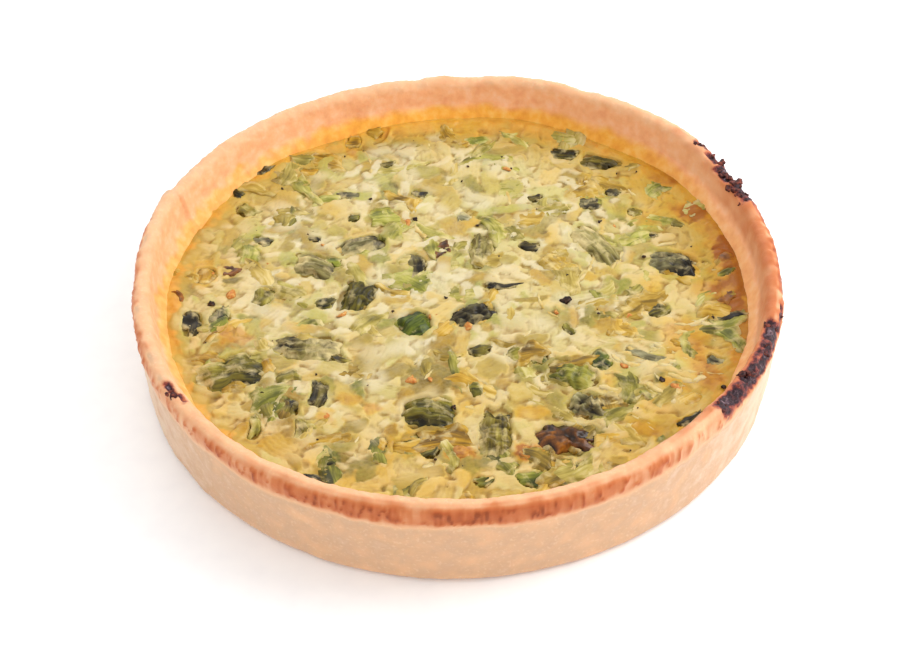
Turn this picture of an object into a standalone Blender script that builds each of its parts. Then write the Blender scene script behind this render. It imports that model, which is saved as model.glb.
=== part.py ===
"""An individual leek quiche, baked in a plain tart ring and turned out of it.

A thick shortcrust shell holds a set egg custard full of sliced leek, and the largest pieces of
leek leaf lie half sunk in pockets in the custard. Metres, +Z up. The origin is the centre of
the flat underside.
"""

import math

import bmesh
import bpy
from mathutils import Matrix, Vector

MM = 0.001

# Driving dimensions, in millimetres.
SHELL_HEIGHT = 20.0
RIM_RADIUS = 60.0
FOOT_RADIUS = 59.5
FOOT_EDGE = 1.2
RIM_WIDTH = 3.2
RIM_CREST = 1.4
LIP_HEIGHT = 5.2
LIP_PROUD = 0.35
SEAM_STEP = 0.7
INNER_FACE_BOTTOM = 14.3
INNER_FACE_RADIUS = 56.1
POOL_RADIUS = 53.6
FLOOR_RADIUS = 50.0
FLOOR_THICKNESS = 3.5
CUSTARD_LEVEL = 11.0
CLEARANCE = 0.3

SHELL_STEPS = 96
CUSTARD_STEPS = 64
CREST_STEPS = 5
CUSTARD_RINGS = 6

# Where the strip of dough laps over itself, in degrees anticlockwise from +X, and how far round
# the lap takes to die away.
SEAM_ANGLE = 158.0
SEAM_RUN = 26.0

# Dips in the crest: centre and half width in degrees, and depth in millimetres.
CREST_DIPS = ((98.0, 4.0, 0.5), (86.0, 6.0, 0.45), (62.0, 5.0, 0.5), (24.0, 7.0, 0.8), (8.0, 6.0, 0.7))

# Where the wall was pressed further out: centre and half width in degrees, and how far in millimetres.
WALL_BULGES = ((-92.0, 34.0, 0.4), (-22.0, 26.0, 0.9), (38.0, 18.0, 0.7), (134.0, 32.0, 1.1))

# The leek leaf: how thick a slice is, and how far its middle stands over the custard.
LEAF_THICKNESS = 1.3
LEAF_PROUD = 0.7
LEAF_GRID = (6, 4)
POCKET_HEADROOM = 3.0

# Each piece of leaf: centre x and y, length, width, turn in degrees, and how much it arches.
LEAVES = {
    "leek_leaf_broad": (-41.4, -19.2, 12.0, 8.4, 4.0, 0.7),
    "leek_leaf_veiled": (-28.0, -13.5, 12.4, 6.4, -8.0, 0.7),
    "leek_leaf_twisted": (3.0, -6.2, 9.0, 5.0, 14.0, 0.9),
    "leek_leaf_upright": (5.0, 12.2, 11.4, 5.0, 82.0, 0.6),
    "leek_leaf_curled": (42.4, 6.8, 10.6, 7.0, -25.0, 1.1),
    "leek_leaf_browned": (18.6, -38.2, 10.0, 6.0, -10.0, 0.9),
    "leek_stem_ribbed": (6.4, -35.6, 12.4, 6.0, 86.0, 0.9),
    "leek_leaf_crinkled": (22.6, -30.0, 7.6, 6.0, -26.0, 0.9),
    "leek_stem_chunk": (-5.2, -30.6, 8.6, 7.0, -8.0, 1.1),
    "leek_stem_diced": (-8.2, -7.6, 6.6, 6.0, 20.0, 1.0),
    "leek_leaf_slanting": (27.6, 12.6, 14.0, 6.0, -58.0, 0.6),
    "leek_leaf_grey": (-18.4, 14.8, 9.0, 5.0, 15.0, 0.7),
    "leek_leaf_lump": (-18.8, 1.0, 8.4, 6.4, 68.0, 1.2),
    "leek_leaf_folded": (-27.0, 8.6, 9.6, 6.2, -24.0, 0.8),
    "leek_leaf_far": (29.4, 38.6, 7.6, 4.4, -30.0, 0.6),
    "leek_leaf_split": (20.4, -22.4, 8.6, 6.0, -20.0, 0.8),
}

CRUST_COLOUR = (0.80, 0.55, 0.31)
CUSTARD_COLOUR = (0.78, 0.68, 0.30)
LEAF_COLOUR = (0.16, 0.24, 0.07)
BROWNED_COLOUR = (0.22, 0.14, 0.06)


def clear_scene():
    for thing in list(bpy.data.objects):
        bpy.data.objects.remove(thing)


def smoothstep(low, high, value):
    t = min(1.0, max(0.0, (value - low) / (high - low)))
    return t * t * (3.0 - 2.0 * t)


def degrees_past(angle, start):
    """How far an angle in radians lies anticlockwise past a start in degrees, from -180 to 180."""
    return (math.degrees(angle) - start + 180.0) % 360.0 - 180.0


def seam_lap(angle):
    """1 at the edge of the lapped dough, falling smoothly to 0 where the lap dies away."""
    past = degrees_past(angle, SEAM_ANGLE)
    return 1.0 - smoothstep(0.0, SEAM_RUN, past) if past >= 0.0 else 0.0


def bumps(angle, places):
    """The sum of smooth bumps round the rim, each with its centre, half width and height."""
    total = 0.0
    for centre, half_width, height in places:
        off = min(1.0, abs(degrees_past(angle, centre)) / half_width)
        total += height * (1.0 - off**2) ** 2
    return total


def rim_rise(angle):
    """How far the hand-pressed rim stands over its nominal height, in millimetres."""
    wave = 0.25 * math.sin(2.0 * angle + 0.5) + 0.18 * math.sin(3.0 * angle - 1.0)
    ripple = 0.14 * math.sin(7.0 * angle + 0.4)
    return wave + ripple + 0.3 * seam_lap(angle) - bumps(angle, CREST_DIPS)


def wall_swell(angle):
    """How far the wall bulges from a true circle, in millimetres."""
    wave = 0.28 * math.sin(2.0 * angle - 0.9) + 0.2 * math.sin(5.0 * angle + 0.7)
    return wave + SEAM_STEP * seam_lap(angle) + bumps(angle, WALL_BULGES)


def custard_rise(x, y):
    """The gentle unevenness of the set custard, in millimetres."""
    return 0.35 * math.sin(0.11 * x + 0.7) * math.cos(0.13 * y) + 0.15 * math.sin(0.2 * (x + y))


def plain_material(name, colour, roughness):
    material = bpy.data.materials.new(name)
    material.use_nodes = True
    shader = material.node_tree.nodes["Principled BSDF"]
    shader.inputs["Base Color"].default_value = (*colour, 1.0)
    shader.inputs["Roughness"].default_value = roughness
    shader.inputs["Metallic"].default_value = 0.0
    return material


def object_from(mesh_builder, name, material):
    """Stores a bmesh drawn in millimetres as an object in metres."""
    bmesh.ops.scale(mesh_builder, vec=Vector((MM, MM, MM)), verts=mesh_builder.verts)
    bmesh.ops.recalc_face_normals(mesh_builder, faces=mesh_builder.faces)
    mesh = bpy.data.meshes.new(name)
    mesh_builder.to_mesh(mesh)
    mesh_builder.free()
    mesh.materials.append(material)
    thing = bpy.data.objects.new(name, mesh)
    bpy.context.scene.collection.objects.link(thing)
    return thing


def turned(profile, steps):
    """Spins a profile of (radius, height) points, with both its ends on the axis, into a solid."""
    body = bmesh.new()
    line = [body.verts.new((radius, 0.0, height)) for radius, height in profile]
    edges = [body.edges.new(pair) for pair in zip(line, line[1:])]
    bmesh.ops.spin(
        body,
        geom=line + edges,
        cent=(0.0, 0.0, 0.0),
        axis=(0.0, 0.0, 1.0),
        angle=math.tau,
        steps=steps,
        use_merge=True,
    )
    bmesh.ops.remove_doubles(body, verts=body.verts, dist=1e-3)
    return body


def shell_profile():
    """The section of the pastry shell, from the underside over the rim to the floor."""
    points = [(0.0, 0.0), (FOOT_RADIUS * 0.5, 0.0), (FOOT_RADIUS - FOOT_EDGE, 0.0)]
    points.append((FOOT_RADIUS - FOOT_EDGE * 0.3, FOOT_EDGE * 0.3))
    points.append((FOOT_RADIUS, FOOT_EDGE))
    lip_bottom = SHELL_HEIGHT - LIP_HEIGHT
    wall_radius = RIM_RADIUS - LIP_PROUD
    points.append((wall_radius - 0.2, lip_bottom * 0.6))
    points.append((wall_radius, lip_bottom - 0.4))
    points.append((RIM_RADIUS, lip_bottom + 0.6))
    crest_centre = RIM_RADIUS - RIM_WIDTH / 2.0
    for step in range(CREST_STEPS + 1):
        turn = math.pi * step / CREST_STEPS
        radius = crest_centre + RIM_WIDTH / 2.0 * math.cos(turn)
        points.append((radius, SHELL_HEIGHT - RIM_CREST * (1.0 - math.sin(turn))))
    points.append((INNER_FACE_RADIUS, INNER_FACE_BOTTOM))
    points.append(((INNER_FACE_RADIUS + POOL_RADIUS) / 2.0, CUSTARD_LEVEL + 1.4))
    points.append((POOL_RADIUS, CUSTARD_LEVEL - 0.2))
    points.append((POOL_RADIUS - 1.4, (CUSTARD_LEVEL + FLOOR_THICKNESS) / 2.0))
    points.append((FLOOR_RADIUS + 0.6, FLOOR_THICKNESS + 0.6))
    points.append((FLOOR_RADIUS - 1.0, FLOOR_THICKNESS))
    points.append((FLOOR_RADIUS * 0.5, FLOOR_THICKNESS))
    points.append((0.0, FLOOR_THICKNESS))
    return points


def pastry_shell(material):
    """The shell: an uneven rim on a wall that is thin at the top and thick at the floor."""
    shell = turned(shell_profile(), SHELL_STEPS)
    for corner in shell.verts:
        radius = math.hypot(corner.co.x, corner.co.y)
        if radius < FLOOR_RADIUS:
            continue
        angle = math.atan2(corner.co.y, corner.co.x)
        height = corner.co.z
        grown = 1.0 + wall_swell(angle) * smoothstep(2.0, SHELL_HEIGHT, height) / radius
        corner.co.x *= grown
        corner.co.y *= grown
        corner.co.z += rim_rise(angle) * smoothstep(CUSTARD_LEVEL, SHELL_HEIGHT, height)
    shell = object_from(shell, "crust", material)
    shell.data.shade_smooth()
    return shell


def custard_profile():
    """The section of the custard, from its underside up the shell's wall to its middle."""
    points = [(0.0, FLOOR_THICKNESS + CLEARANCE)]
    points.append((FLOOR_RADIUS - 1.2, FLOOR_THICKNESS + CLEARANCE))
    points.append((FLOOR_RADIUS + 0.2, FLOOR_THICKNESS + CLEARANCE + 0.6))
    points.append((POOL_RADIUS - 1.4 - 1.5 * CLEARANCE, (CUSTARD_LEVEL + FLOOR_THICKNESS) / 2.0))
    points.append((POOL_RADIUS - 2.0 * CLEARANCE, CUSTARD_LEVEL - 0.2))
    for ring in range(CUSTARD_RINGS - 1, 0, -1):
        points.append(((POOL_RADIUS - 2.0) * ring / (CUSTARD_RINGS - 1), CUSTARD_LEVEL))
    points.append((0.0, CUSTARD_LEVEL))
    return points


def custard(material):
    filling = turned(custard_profile(), CUSTARD_STEPS)
    for corner in filling.verts:
        x, y, height = corner.co
        fade = smoothstep(POOL_RADIUS, POOL_RADIUS - 8.0, math.hypot(x, y))
        if height > CUSTARD_LEVEL - 0.1:
            corner.co.z += custard_rise(x, y) * fade
    return object_from(filling, "filling", material)


def leaf_slab(length, width, arch, below, above, grow=0.0):
    """An arched slice of leaf with rounded ends, round the origin, long in X.

    below and above are how far its two faces lie from the leaf's middle surface.
    """
    slab = bmesh.new()
    bmesh.ops.create_grid(slab, x_segments=LEAF_GRID[0], y_segments=LEAF_GRID[1], size=1.0)
    for corner in slab.verts:
        along, across = corner.co.x, corner.co.y
        corner.co.x = (length / 2.0 + grow) * along * math.sqrt(1.0 - 0.28 * across**2)
        corner.co.y = (width / 2.0 + grow) * across * math.sqrt(1.0 - 0.22 * along**2)
        corner.co.z = -arch * (0.75 * across**2 + 0.25 * along**2) - below
    lower = list(slab.faces)
    raised = bmesh.ops.extrude_face_region(slab, geom=lower, use_keep_orig=True)
    top = [part for part in raised["geom"] if isinstance(part, bmesh.types.BMVert)]
    bmesh.ops.translate(slab, vec=Vector((0.0, 0.0, below + above)), verts=top)
    return slab


def placed(slab, x, y, turn):
    """Lays a slab on the custard, its middle just proud of the surface."""
    height = CUSTARD_LEVEL + custard_rise(x, y) + LEAF_PROUD - LEAF_THICKNESS / 2.0
    place = Matrix.Translation((x, y, height)) @ Matrix.Rotation(math.radians(turn), 4, "Z")
    bmesh.ops.transform(slab, matrix=place, verts=slab.verts)
    return slab


def lay_leaf(name, filling, leaf_material):
    """Adds one piece of leaf, and cuts the pocket that it lies in."""
    x, y, length, width, turn, arch = LEAVES[name]
    half = LEAF_THICKNESS / 2.0
    piece = placed(leaf_slab(length, width, arch, half, half), x, y, turn)
    piece = object_from(piece, name, leaf_material)
    piece.data.shade_smooth()
    piece.data.set_sharp_from_angle(angle=math.radians(50.0))
    room = leaf_slab(length, width, arch, half + CLEARANCE, POCKET_HEADROOM, grow=CLEARANCE)
    cutter = object_from(placed(room, x, y, turn), name + "_pocket", leaf_material)
    cutter.hide_render = True
    cutter.display_type = "WIRE"
    pocket = filling.modifiers.new(name + "_pocket", "BOOLEAN")
    pocket.operation = "DIFFERENCE"
    pocket.solver = "EXACT"
    pocket.object = cutter


def build():
    clear_scene()
    pastry_shell(plain_material("baked_shortcrust", CRUST_COLOUR, 0.7))
    filling = custard(plain_material("set_custard", CUSTARD_COLOUR, 0.4))
    leaf_green = plain_material("leek_leaf", LEAF_COLOUR, 0.4)
    leaf_brown = plain_material("browned_leaf", BROWNED_COLOUR, 0.5)
    for name in LEAVES:
        lay_leaf(name, filling, leaf_brown if "browned" in name else leaf_green)


build()
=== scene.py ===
# %% [markdown]
# # Dressing a small leek quiche
#
# The object is an individual quiche: a shortcrust shell that was baked in a plain ring, 120 mm across
# and 20 mm high, filled with set egg custard that is crowded with sliced leek. Its plain solids are
# modelled and packed already. This lesson puts the real surfaces round them: crumbly pastry with a
# browned lip and burnt patches, and a custard in which every slice of leek can be made out.
#
# The imported model comes first, because its plain solids are hidden as the new pieces replace them.

# %% Load the imported model
import math
import random
from collections import namedtuple

import bmesh
import bpy
from mathutils import Matrix, Vector, noise
from mathutils.bvhtree import BVHTree
from mathutils.kdtree import KDTree


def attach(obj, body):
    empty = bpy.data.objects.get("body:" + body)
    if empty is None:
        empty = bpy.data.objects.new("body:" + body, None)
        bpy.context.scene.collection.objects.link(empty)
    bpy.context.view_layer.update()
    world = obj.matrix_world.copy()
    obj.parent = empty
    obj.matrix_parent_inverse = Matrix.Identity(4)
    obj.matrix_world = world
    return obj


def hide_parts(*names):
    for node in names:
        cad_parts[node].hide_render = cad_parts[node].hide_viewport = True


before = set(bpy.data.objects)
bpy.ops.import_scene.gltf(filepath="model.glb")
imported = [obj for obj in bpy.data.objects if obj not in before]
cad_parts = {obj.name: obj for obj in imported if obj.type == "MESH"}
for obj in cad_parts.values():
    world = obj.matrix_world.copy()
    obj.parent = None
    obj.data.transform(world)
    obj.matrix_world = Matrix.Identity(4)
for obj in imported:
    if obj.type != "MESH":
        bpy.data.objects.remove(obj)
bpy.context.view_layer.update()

print("nodes to dress:", ", ".join(sorted(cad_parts)))

# %% [markdown]
# ## Small helpers
#
# Lengths below are in millimetres, the unit a baker thinks in, and a piece is brought to metres when it
# is finished. Colours are written as sRGB hex codes, as a colour picker gives them, but shaders add up
# light, so one function makes them linear. Another adds a node with its settings and its links, which
# keeps every material below a readable list.

# %% Helpers for numbers, colours and nodes
MM = 0.001
MIX_FACTOR, MIX_A, MIX_B, MIX_RESULT = 0, 6, 7, 2


def smoothstep(low, high, value):
    """Rises from 0 at low to 1 at high with level ends."""
    step = min(1.0, max(0.0, (value - low) / (high - low)))
    return step * step * (3.0 - 2.0 * step)


def mix(first, second, amount):
    return first + (second - first) * amount


def linear(code):
    """The linear colour of an sRGB hex code."""
    channels = []
    for start in (0, 2, 4):
        value = int(code[start:start + 2], 16) / 255.0
        channels.append(value / 12.92 if value <= 0.04045 else ((value + 0.055) / 1.055) ** 2.4)
    return (*channels, 1.0)


def add_node(tree, kind, inputs=None, stops=None, **settings):
    """Adds a node. A value in inputs is set on that socket, an output socket is linked to it."""
    node = tree.nodes.new(kind)
    for name, value in settings.items():
        setattr(node, name, value)
    for key, value in (inputs or {}).items():
        socket = node.inputs[key]
        if isinstance(value, bpy.types.NodeSocket):
            tree.links.new(value, socket)
        elif isinstance(value, str):
            socket.default_value = linear(value)
        else:
            socket.default_value = value
    if stops:
        elements = node.color_ramp.elements
        while len(elements) < len(stops):
            elements.new(1.0)
        for element, (position, code) in zip(elements, stops):
            element.position = position
            element.color = linear(code)
    return node


def new_material(name):
    material = bpy.data.materials.new(name)
    material.use_nodes = True
    material.node_tree.nodes.clear()
    return material, material.node_tree


# %% [markdown]
# A finished piece goes through one door: its bmesh is scaled to metres, its faces are turned outwards,
# it gets its material, rides on the quiche's only body, and hides the plain solids it stands for.

# %% Finish a piece
def finish_piece(name, bm, material, replaced=(), recalculate=True):
    if recalculate:
        bmesh.ops.recalc_face_normals(bm, faces=bm.faces[:])
    bmesh.ops.scale(bm, vec=(MM, MM, MM), verts=bm.verts[:])
    mesh = bpy.data.meshes.new(name)
    bm.to_mesh(mesh)
    bm.free()
    mesh.shade_smooth()
    piece = bpy.data.objects.new(name, mesh)
    bpy.context.scene.collection.objects.link(piece)
    mesh.materials.append(material)
    if replaced:
        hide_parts(*replaced)
    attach(piece, "root")
    print(name, len(mesh.polygons), "faces")
    return piece


# %% [markdown]
# ## Camera, light and floor
#
# Food like this is shot from about 44 degrees above the table with a long lens on a white sweep, so the
# rim stays nearly round and the front wall still shows. A bright, even surround does most of the
# lighting, and one large soft lamp at the right models the relief. Two weak ones fill front and back.

# %% Camera
CAMERA_HEIGHT_ANGLE = math.radians(43.99)
CAMERA_DISTANCE = 0.31047
CAMERA_ROLL = math.radians(-1.57)

camera_data = bpy.data.cameras.new("camera")
camera_data.lens = 64.0
camera_data.sensor_width = 36.0
camera_data.shift_x = -0.0084
camera_data.shift_y = 0.0121
camera_data.clip_start = 0.01
camera = bpy.data.objects.new("camera", camera_data)
bpy.context.scene.collection.objects.link(camera)
camera_place = Vector((0.0, -math.cos(CAMERA_HEIGHT_ANGLE), math.sin(CAMERA_HEIGHT_ANGLE))) * CAMERA_DISTANCE
camera_tilt = Matrix.Rotation(math.pi / 2.0 - CAMERA_HEIGHT_ANGLE, 4, "X")
camera.matrix_world = Matrix.Translation(camera_place) @ camera_tilt @ Matrix.Rotation(CAMERA_ROLL, 4, "Z")
bpy.context.scene.camera = camera
print("camera at", [round(value, 3) for value in camera.location])

# %% Surround, lamps and floor
bpy.context.scene.view_settings.view_transform = "Standard"

world = bpy.data.worlds.new("white_tent")
bpy.context.scene.world = world
world.use_nodes = True
world.node_tree.nodes["Background"].inputs["Color"].default_value = (1.0, 1.0, 1.0, 1.0)
world.node_tree.nodes["Background"].inputs["Strength"].default_value = 1.08

LAMPS = {
    "key_softbox": ((0.5, 0.1, 0.42), 0.4, 3.0),
    "back_softbox": ((-0.2, 0.6, 0.4), 0.4, 0.9),
    "front_softbox": ((0.15, -0.6, 0.35), 0.4, 0.35),
}
for lamp_name, (lamp_place, lamp_size, lamp_power) in LAMPS.items():
    lamp_data = bpy.data.lights.new(lamp_name, "AREA")
    lamp_data.size = lamp_size
    lamp_data.energy = lamp_power
    lamp = bpy.data.objects.new(lamp_name, lamp_data)
    lamp.location = lamp_place
    lamp.rotation_euler = (-Vector(lamp_place)).to_track_quat("-Z", "Y").to_euler()
    bpy.context.scene.collection.objects.link(lamp)

paper, paper_tree = new_material("white_seamless_paper")
paper_grain = add_node(paper_tree, "ShaderNodeTexNoise", {"Scale": 900.0, "Detail": 2.0})
paper_tint = add_node(paper_tree, "ShaderNodeValToRGB", {"Fac": paper_grain.outputs["Fac"]},
                      stops=((0.3, "F6F6F7"), (0.7, "FAFAFA")))
paper_shader = add_node(paper_tree, "ShaderNodeBsdfPrincipled",
                        {"Base Color": paper_tint.outputs["Color"], "Roughness": 0.9})
add_node(paper_tree, "ShaderNodeOutputMaterial", {"Surface": paper_shader.outputs["BSDF"]})

FLOOR_SIZE = 4.0
floor_bm = bmesh.new()
bmesh.ops.create_grid(floor_bm, x_segments=1, y_segments=1, size=FLOOR_SIZE / 2.0)
floor_mesh = bpy.data.meshes.new("floor")
floor_bm.to_mesh(floor_mesh)
floor_bm.free()
floor_mesh.materials.append(paper)
floor = bpy.data.objects.new("floor", floor_mesh)
bpy.context.scene.collection.objects.link(floor)

# %% [markdown]
# ## The shell's form
#
# A shortcrust shell is pressed into a ring by hand, so its wall bulges a little, its rim rises and falls,
# and the dough laps over itself where the strip met its own end. The plain solid has that form already.
# The same few rules are repeated here, so that the finer shell below lies exactly where the solid does.

# %% The shell's sizes and its slow waves
SHELL_HEIGHT = 20.0
RIM_RADIUS = 60.0
FOOT_RADIUS = 59.5
FOOT_EDGE = 1.2
RIM_WIDTH = 3.2
RIM_CREST = 1.4
LIP_HEIGHT = 5.2
SEAM_ANGLE = 158.0
SEAM_RUN = 26.0
SEAM_STEP = 0.7
INNER_FACE_BOTTOM = 14.3
INNER_FACE_RADIUS = 56.1
POOL_RADIUS = 53.6
FLOOR_RADIUS = 50.0
FLOOR_THICKNESS = 3.5
CUSTARD_LEVEL = 11.0
CREST_DIPS = ((98.0, 4.0, 0.5), (86.0, 6.0, 0.45), (62.0, 5.0, 0.5), (24.0, 7.0, 0.8), (8.0, 6.0, 0.7))
WALL_BULGES = ((-92.0, 34.0, 0.4), (-22.0, 26.0, 0.9), (38.0, 18.0, 0.7), (134.0, 32.0, 1.1))


def degrees_past(angle, centre):
    """Signed degrees from centre to angle, which is in radians, the short way round."""
    return (math.degrees(angle) - centre + 180.0) % 360.0 - 180.0


def seam_lap(angle):
    past = degrees_past(angle, SEAM_ANGLE)
    return 1.0 - smoothstep(0.0, SEAM_RUN, past) if past >= 0.0 else 0.0


def bumps(angle, places):
    """The sum of smooth bumps round the rim, each with its centre, half width and height."""
    total = 0.0
    for centre, half_width, height in places:
        off = min(1.0, abs(degrees_past(angle, centre)) / half_width)
        total += height * (1.0 - off ** 2) ** 2
    return total


def rim_rise(angle):
    wave = 0.25 * math.sin(2.0 * angle + 0.5) + 0.18 * math.sin(3.0 * angle - 1.0)
    ripple = 0.14 * math.sin(7.0 * angle + 0.4)
    return wave + ripple + 0.3 * seam_lap(angle) - bumps(angle, CREST_DIPS)


def wall_swell(angle):
    wave = 0.28 * math.sin(2.0 * angle - 0.9) + 0.2 * math.sin(5.0 * angle + 0.7)
    return wave + SEAM_STEP * seam_lap(angle) + bumps(angle, WALL_BULGES)


# %% [markdown]
# The shell is turned from half of its cross-section with spin, the way a potter's rib turns a bowl. The
# stretch that shows gets a point every half millimetre, because its crumb and cracks come from moving
# those points. The stretch under the custard and under the foot keeps few.

# %% The cross-section
SHELL_STEPS = 880
SHOWN_SPACING = 0.46
CREST_RADIUS = RIM_RADIUS - RIM_WIDTH / 2.0
CREST_HEIGHT = SHELL_HEIGHT - RIM_CREST


def shell_outline():
    """Corners of half the cross-section as (radius, height), from under the middle round to the floor."""
    outline = [(0.0, 0.0), (30.0, 0.0), (FLOOR_RADIUS, 0.0), (FOOT_RADIUS - FOOT_EDGE, 0.0)]
    outline += [(FOOT_RADIUS - 0.45, 0.45), (FOOT_RADIUS, FOOT_EDGE)]
    outline += [(FOOT_RADIUS + 0.25, 8.9), (FOOT_RADIUS + 0.45, SHELL_HEIGHT - LIP_HEIGHT)]
    outline += [(RIM_RADIUS + 0.05, SHELL_HEIGHT - LIP_HEIGHT + 0.7), (RIM_RADIUS + 0.1, CREST_HEIGHT - 1.0)]
    crest_steps = 10
    for step in range(crest_steps + 1):
        turn = math.pi * step / crest_steps
        outline.append((CREST_RADIUS + RIM_WIDTH / 2.0 * math.cos(turn), CREST_HEIGHT + RIM_CREST * math.sin(turn)))
    outline += [(INNER_FACE_RADIUS, INNER_FACE_BOTTOM), (54.85, 12.4), (POOL_RADIUS, 10.8)]
    outline += [(52.2, 7.25), (50.6, 4.1), (49.0, FLOOR_THICKNESS), (25.0, FLOOR_THICKNESS), (0.0, FLOOR_THICKNESS)]
    return outline


def spaced(outline):
    """The outline with extra points, so that no shown stretch is longer than SHOWN_SPACING."""
    points = [outline[0]]
    for start, end in zip(outline, outline[1:]):
        hidden = start[0] <= FLOOR_RADIUS or end[0] <= FLOOR_RADIUS
        hidden = hidden or (start[0] < POOL_RADIUS and end[0] < POOL_RADIUS)
        count = 1 if hidden else max(1, round(math.dist(start, end) / SHOWN_SPACING))
        for step in range(1, count + 1):
            points.append((mix(start[0], end[0], step / count), mix(start[1], end[1], step / count)))
    return points


def turned_shell():
    bm = bmesh.new()
    verts = [bm.verts.new((radius, 0.0, height)) for radius, height in spaced(shell_outline())]
    edges = [bm.edges.new(pair) for pair in zip(verts, verts[1:])]
    for _ in range(2):
        shown = [vert for vert in verts[1:-1] if vert.co.x > FOOT_RADIUS - FOOT_EDGE - 0.1 or vert.co.z > 10.0]
        bmesh.ops.smooth_vert(bm, verts=shown, factor=0.5, use_axis_x=True, use_axis_z=True)
    bmesh.ops.spin(bm, geom=verts + edges, axis=(0.0, 0.0, 1.0), cent=(0.0, 0.0, 0.0),
                   angle=math.tau, steps=SHELL_STEPS, use_merge=True)
    bmesh.ops.remove_doubles(bm, verts=bm.verts[:], dist=0.0005)
    return bm


shell_bm = turned_shell()
print("shell", len(shell_bm.faces), "faces")

# %% [markdown]
# ## Pastry crumb, cracks and burns
#
# Raw shortcrust is a crumbly dough, so the baked wall is faintly lumpy. The lip stood proud of the ring,
# in the full heat: it browned and dried into fine upright cracks. Two stretches of the rim at the right
# caught and burnt to a black crust, and there is a burnt spot at the left front. Where all this lies is
# settled once for each point, in four amounts from 0 to 1 that shape the surface and that the material
# reads back: how browned it is, how golden from egg, how far it is burnt, and how deep the crack.

# %% Where the shell is browned, golden, burnt and cracked
Burn = namedtuple("Burn", "centre half_width inner outer strength")
BURNS = (
    Burn(-15.5, 2.6, 0.6, 1.6, 0.8),
    Burn(-20.5, 3.5, -0.9, 1.7, 1.0),
    Burn(-27.0, 3.8, 0.1, 1.9, 0.95),
    Burn(-32.0, 3.2, -0.6, 1.9, 1.0),
    Burn(-38.5, 4.2, -0.8, 1.3, 1.0),
    Burn(-29.0, 13.0, -0.7, 1.9, 0.6),
    Burn(-1.0, 12.5, 0.75, 1.7, 0.45),
    Burn(33.6, 1.4, -0.3, 1.6, 0.8),
    Burn(29.0, 2.0, -0.5, 1.6, 0.85),
    Burn(23.8, 3.2, -0.9, 1.6, 0.95),
    Burn(17.4, 3.6, -1.0, 1.6, 0.95),
    Burn(22.0, 14.0, 0.1, 1.6, 0.35),
    Burn(-146.8, 2.4, -0.3, 0.6, 1.0),
    Burn(-144.2, 1.5, -0.7, 0.0, 0.9),
)


def crest_side(radius):
    """-1 at the rim's inner edge, 0 on top, 1 at its outer edge."""
    return (radius - CREST_RADIUS) / (RIM_WIDTH / 2.0)


def burnt(angle, radius, height):
    """How far the crust is burnt, from 0 to 1, with a ragged border."""
    if height < SHELL_HEIGHT - LIP_HEIGHT:
        return 0.0
    side = crest_side(radius) + smoothstep(CREST_HEIGHT, CREST_HEIGHT - 2.6, height) * (1.0 if radius > CREST_RADIUS else -1.0)
    here = Vector((math.cos(angle) * radius, math.sin(angle) * radius, height))
    ragged = 0.5 * noise.noise(here / 2.3) + 0.3 * noise.noise(here / 0.9)
    most = 0.0
    for burn in BURNS:
        along = 1.0 - abs(degrees_past(angle, burn.centre)) / burn.half_width
        if along < -0.5:
            continue
        across = min(side - burn.inner, burn.outer - side) / 0.7
        amount = smoothstep(0.0, 0.45, min(along, across) + 0.45 * ragged)
        most = max(most, burn.strength * amount)
    return most


def browned(angle, radius, height):
    """How browned the crust is, from 0 on the pale wall to 1 on the lip; the outer wall's front and the inner face's
    right are also drawn darker as painted shade.
    """
    here = Vector((math.cos(angle) * radius, math.sin(angle) * radius, height))
    drift = noise.noise(here / 9.0)
    blotch = noise.noise(here / 3.2 + Vector((7.0, 3.0, 1.0)))
    front = smoothstep(75.0, 25.0, abs(degrees_past(angle, -93.0)))
    if radius < CREST_RADIUS:
        top = smoothstep(CREST_HEIGHT - 2.0, SHELL_HEIGHT - 0.4, height)
        # Browner at the right: browning from the heat that burnt the rim there, together with painted shade of the
        # inner face turned away from the key lamp.
        right = smoothstep(60.0, 20.0, abs(degrees_past(angle, -8.0)))
        return 0.16 + 0.12 * top + 0.36 * right + 0.16 * blotch
    lip_foot = SHELL_HEIGHT - LIP_HEIGHT + 0.6 + 0.9 * drift + 0.5 * blotch
    lip = smoothstep(lip_foot - 1.0, lip_foot + 1.6, height)
    crest = smoothstep(CREST_HEIGHT - 0.2, SHELL_HEIGHT - 0.3, height) * smoothstep(1.0, 0.5, crest_side(radius))
    streak = noise.noise(Vector((math.cos(angle) * 70.0, math.sin(angle) * 70.0, height / 6.0)))
    nearest = smoothstep(55.0, 15.0, abs(degrees_past(angle, -93.0)))
    lip_tone = 0.42 + 0.32 * nearest + 0.2 * drift + 0.1 * blotch + 0.2 * streak
    # Browner at the front than at the right: painted shade of the outer wall's side turned away from the key lamp.
    wall_tone = 0.02 + 0.12 * front + 0.12 * max(0.0, blotch) + 0.15 * smoothstep(2.6, 0.6, height) * max(0.0, drift + 0.3)
    inner_side = smoothstep(0.6, -0.8, crest_side(radius))
    crest_tone = 0.26 + 0.2 * nearest - 0.1 * inner_side + 0.25 * blotch
    # The rim's outer edge caught the heat at the right and at the left.
    right_edge = smoothstep(26.0, 12.0, abs(degrees_past(angle, 2.0)))
    left_edge = smoothstep(24.0, 12.0, abs(degrees_past(angle, 184.0)))
    edge = smoothstep(0.1, 0.9, crest_side(radius) + 0.8 * noise.noise(here / 1.6)) * smoothstep(17.6, 18.8, height)
    scorched = edge * max(0.45 * right_edge, 0.3 * left_edge) + 0.2 * right_edge * crest
    return mix(mix(wall_tone, lip_tone, lip), crest_tone, crest) + scorched


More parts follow.
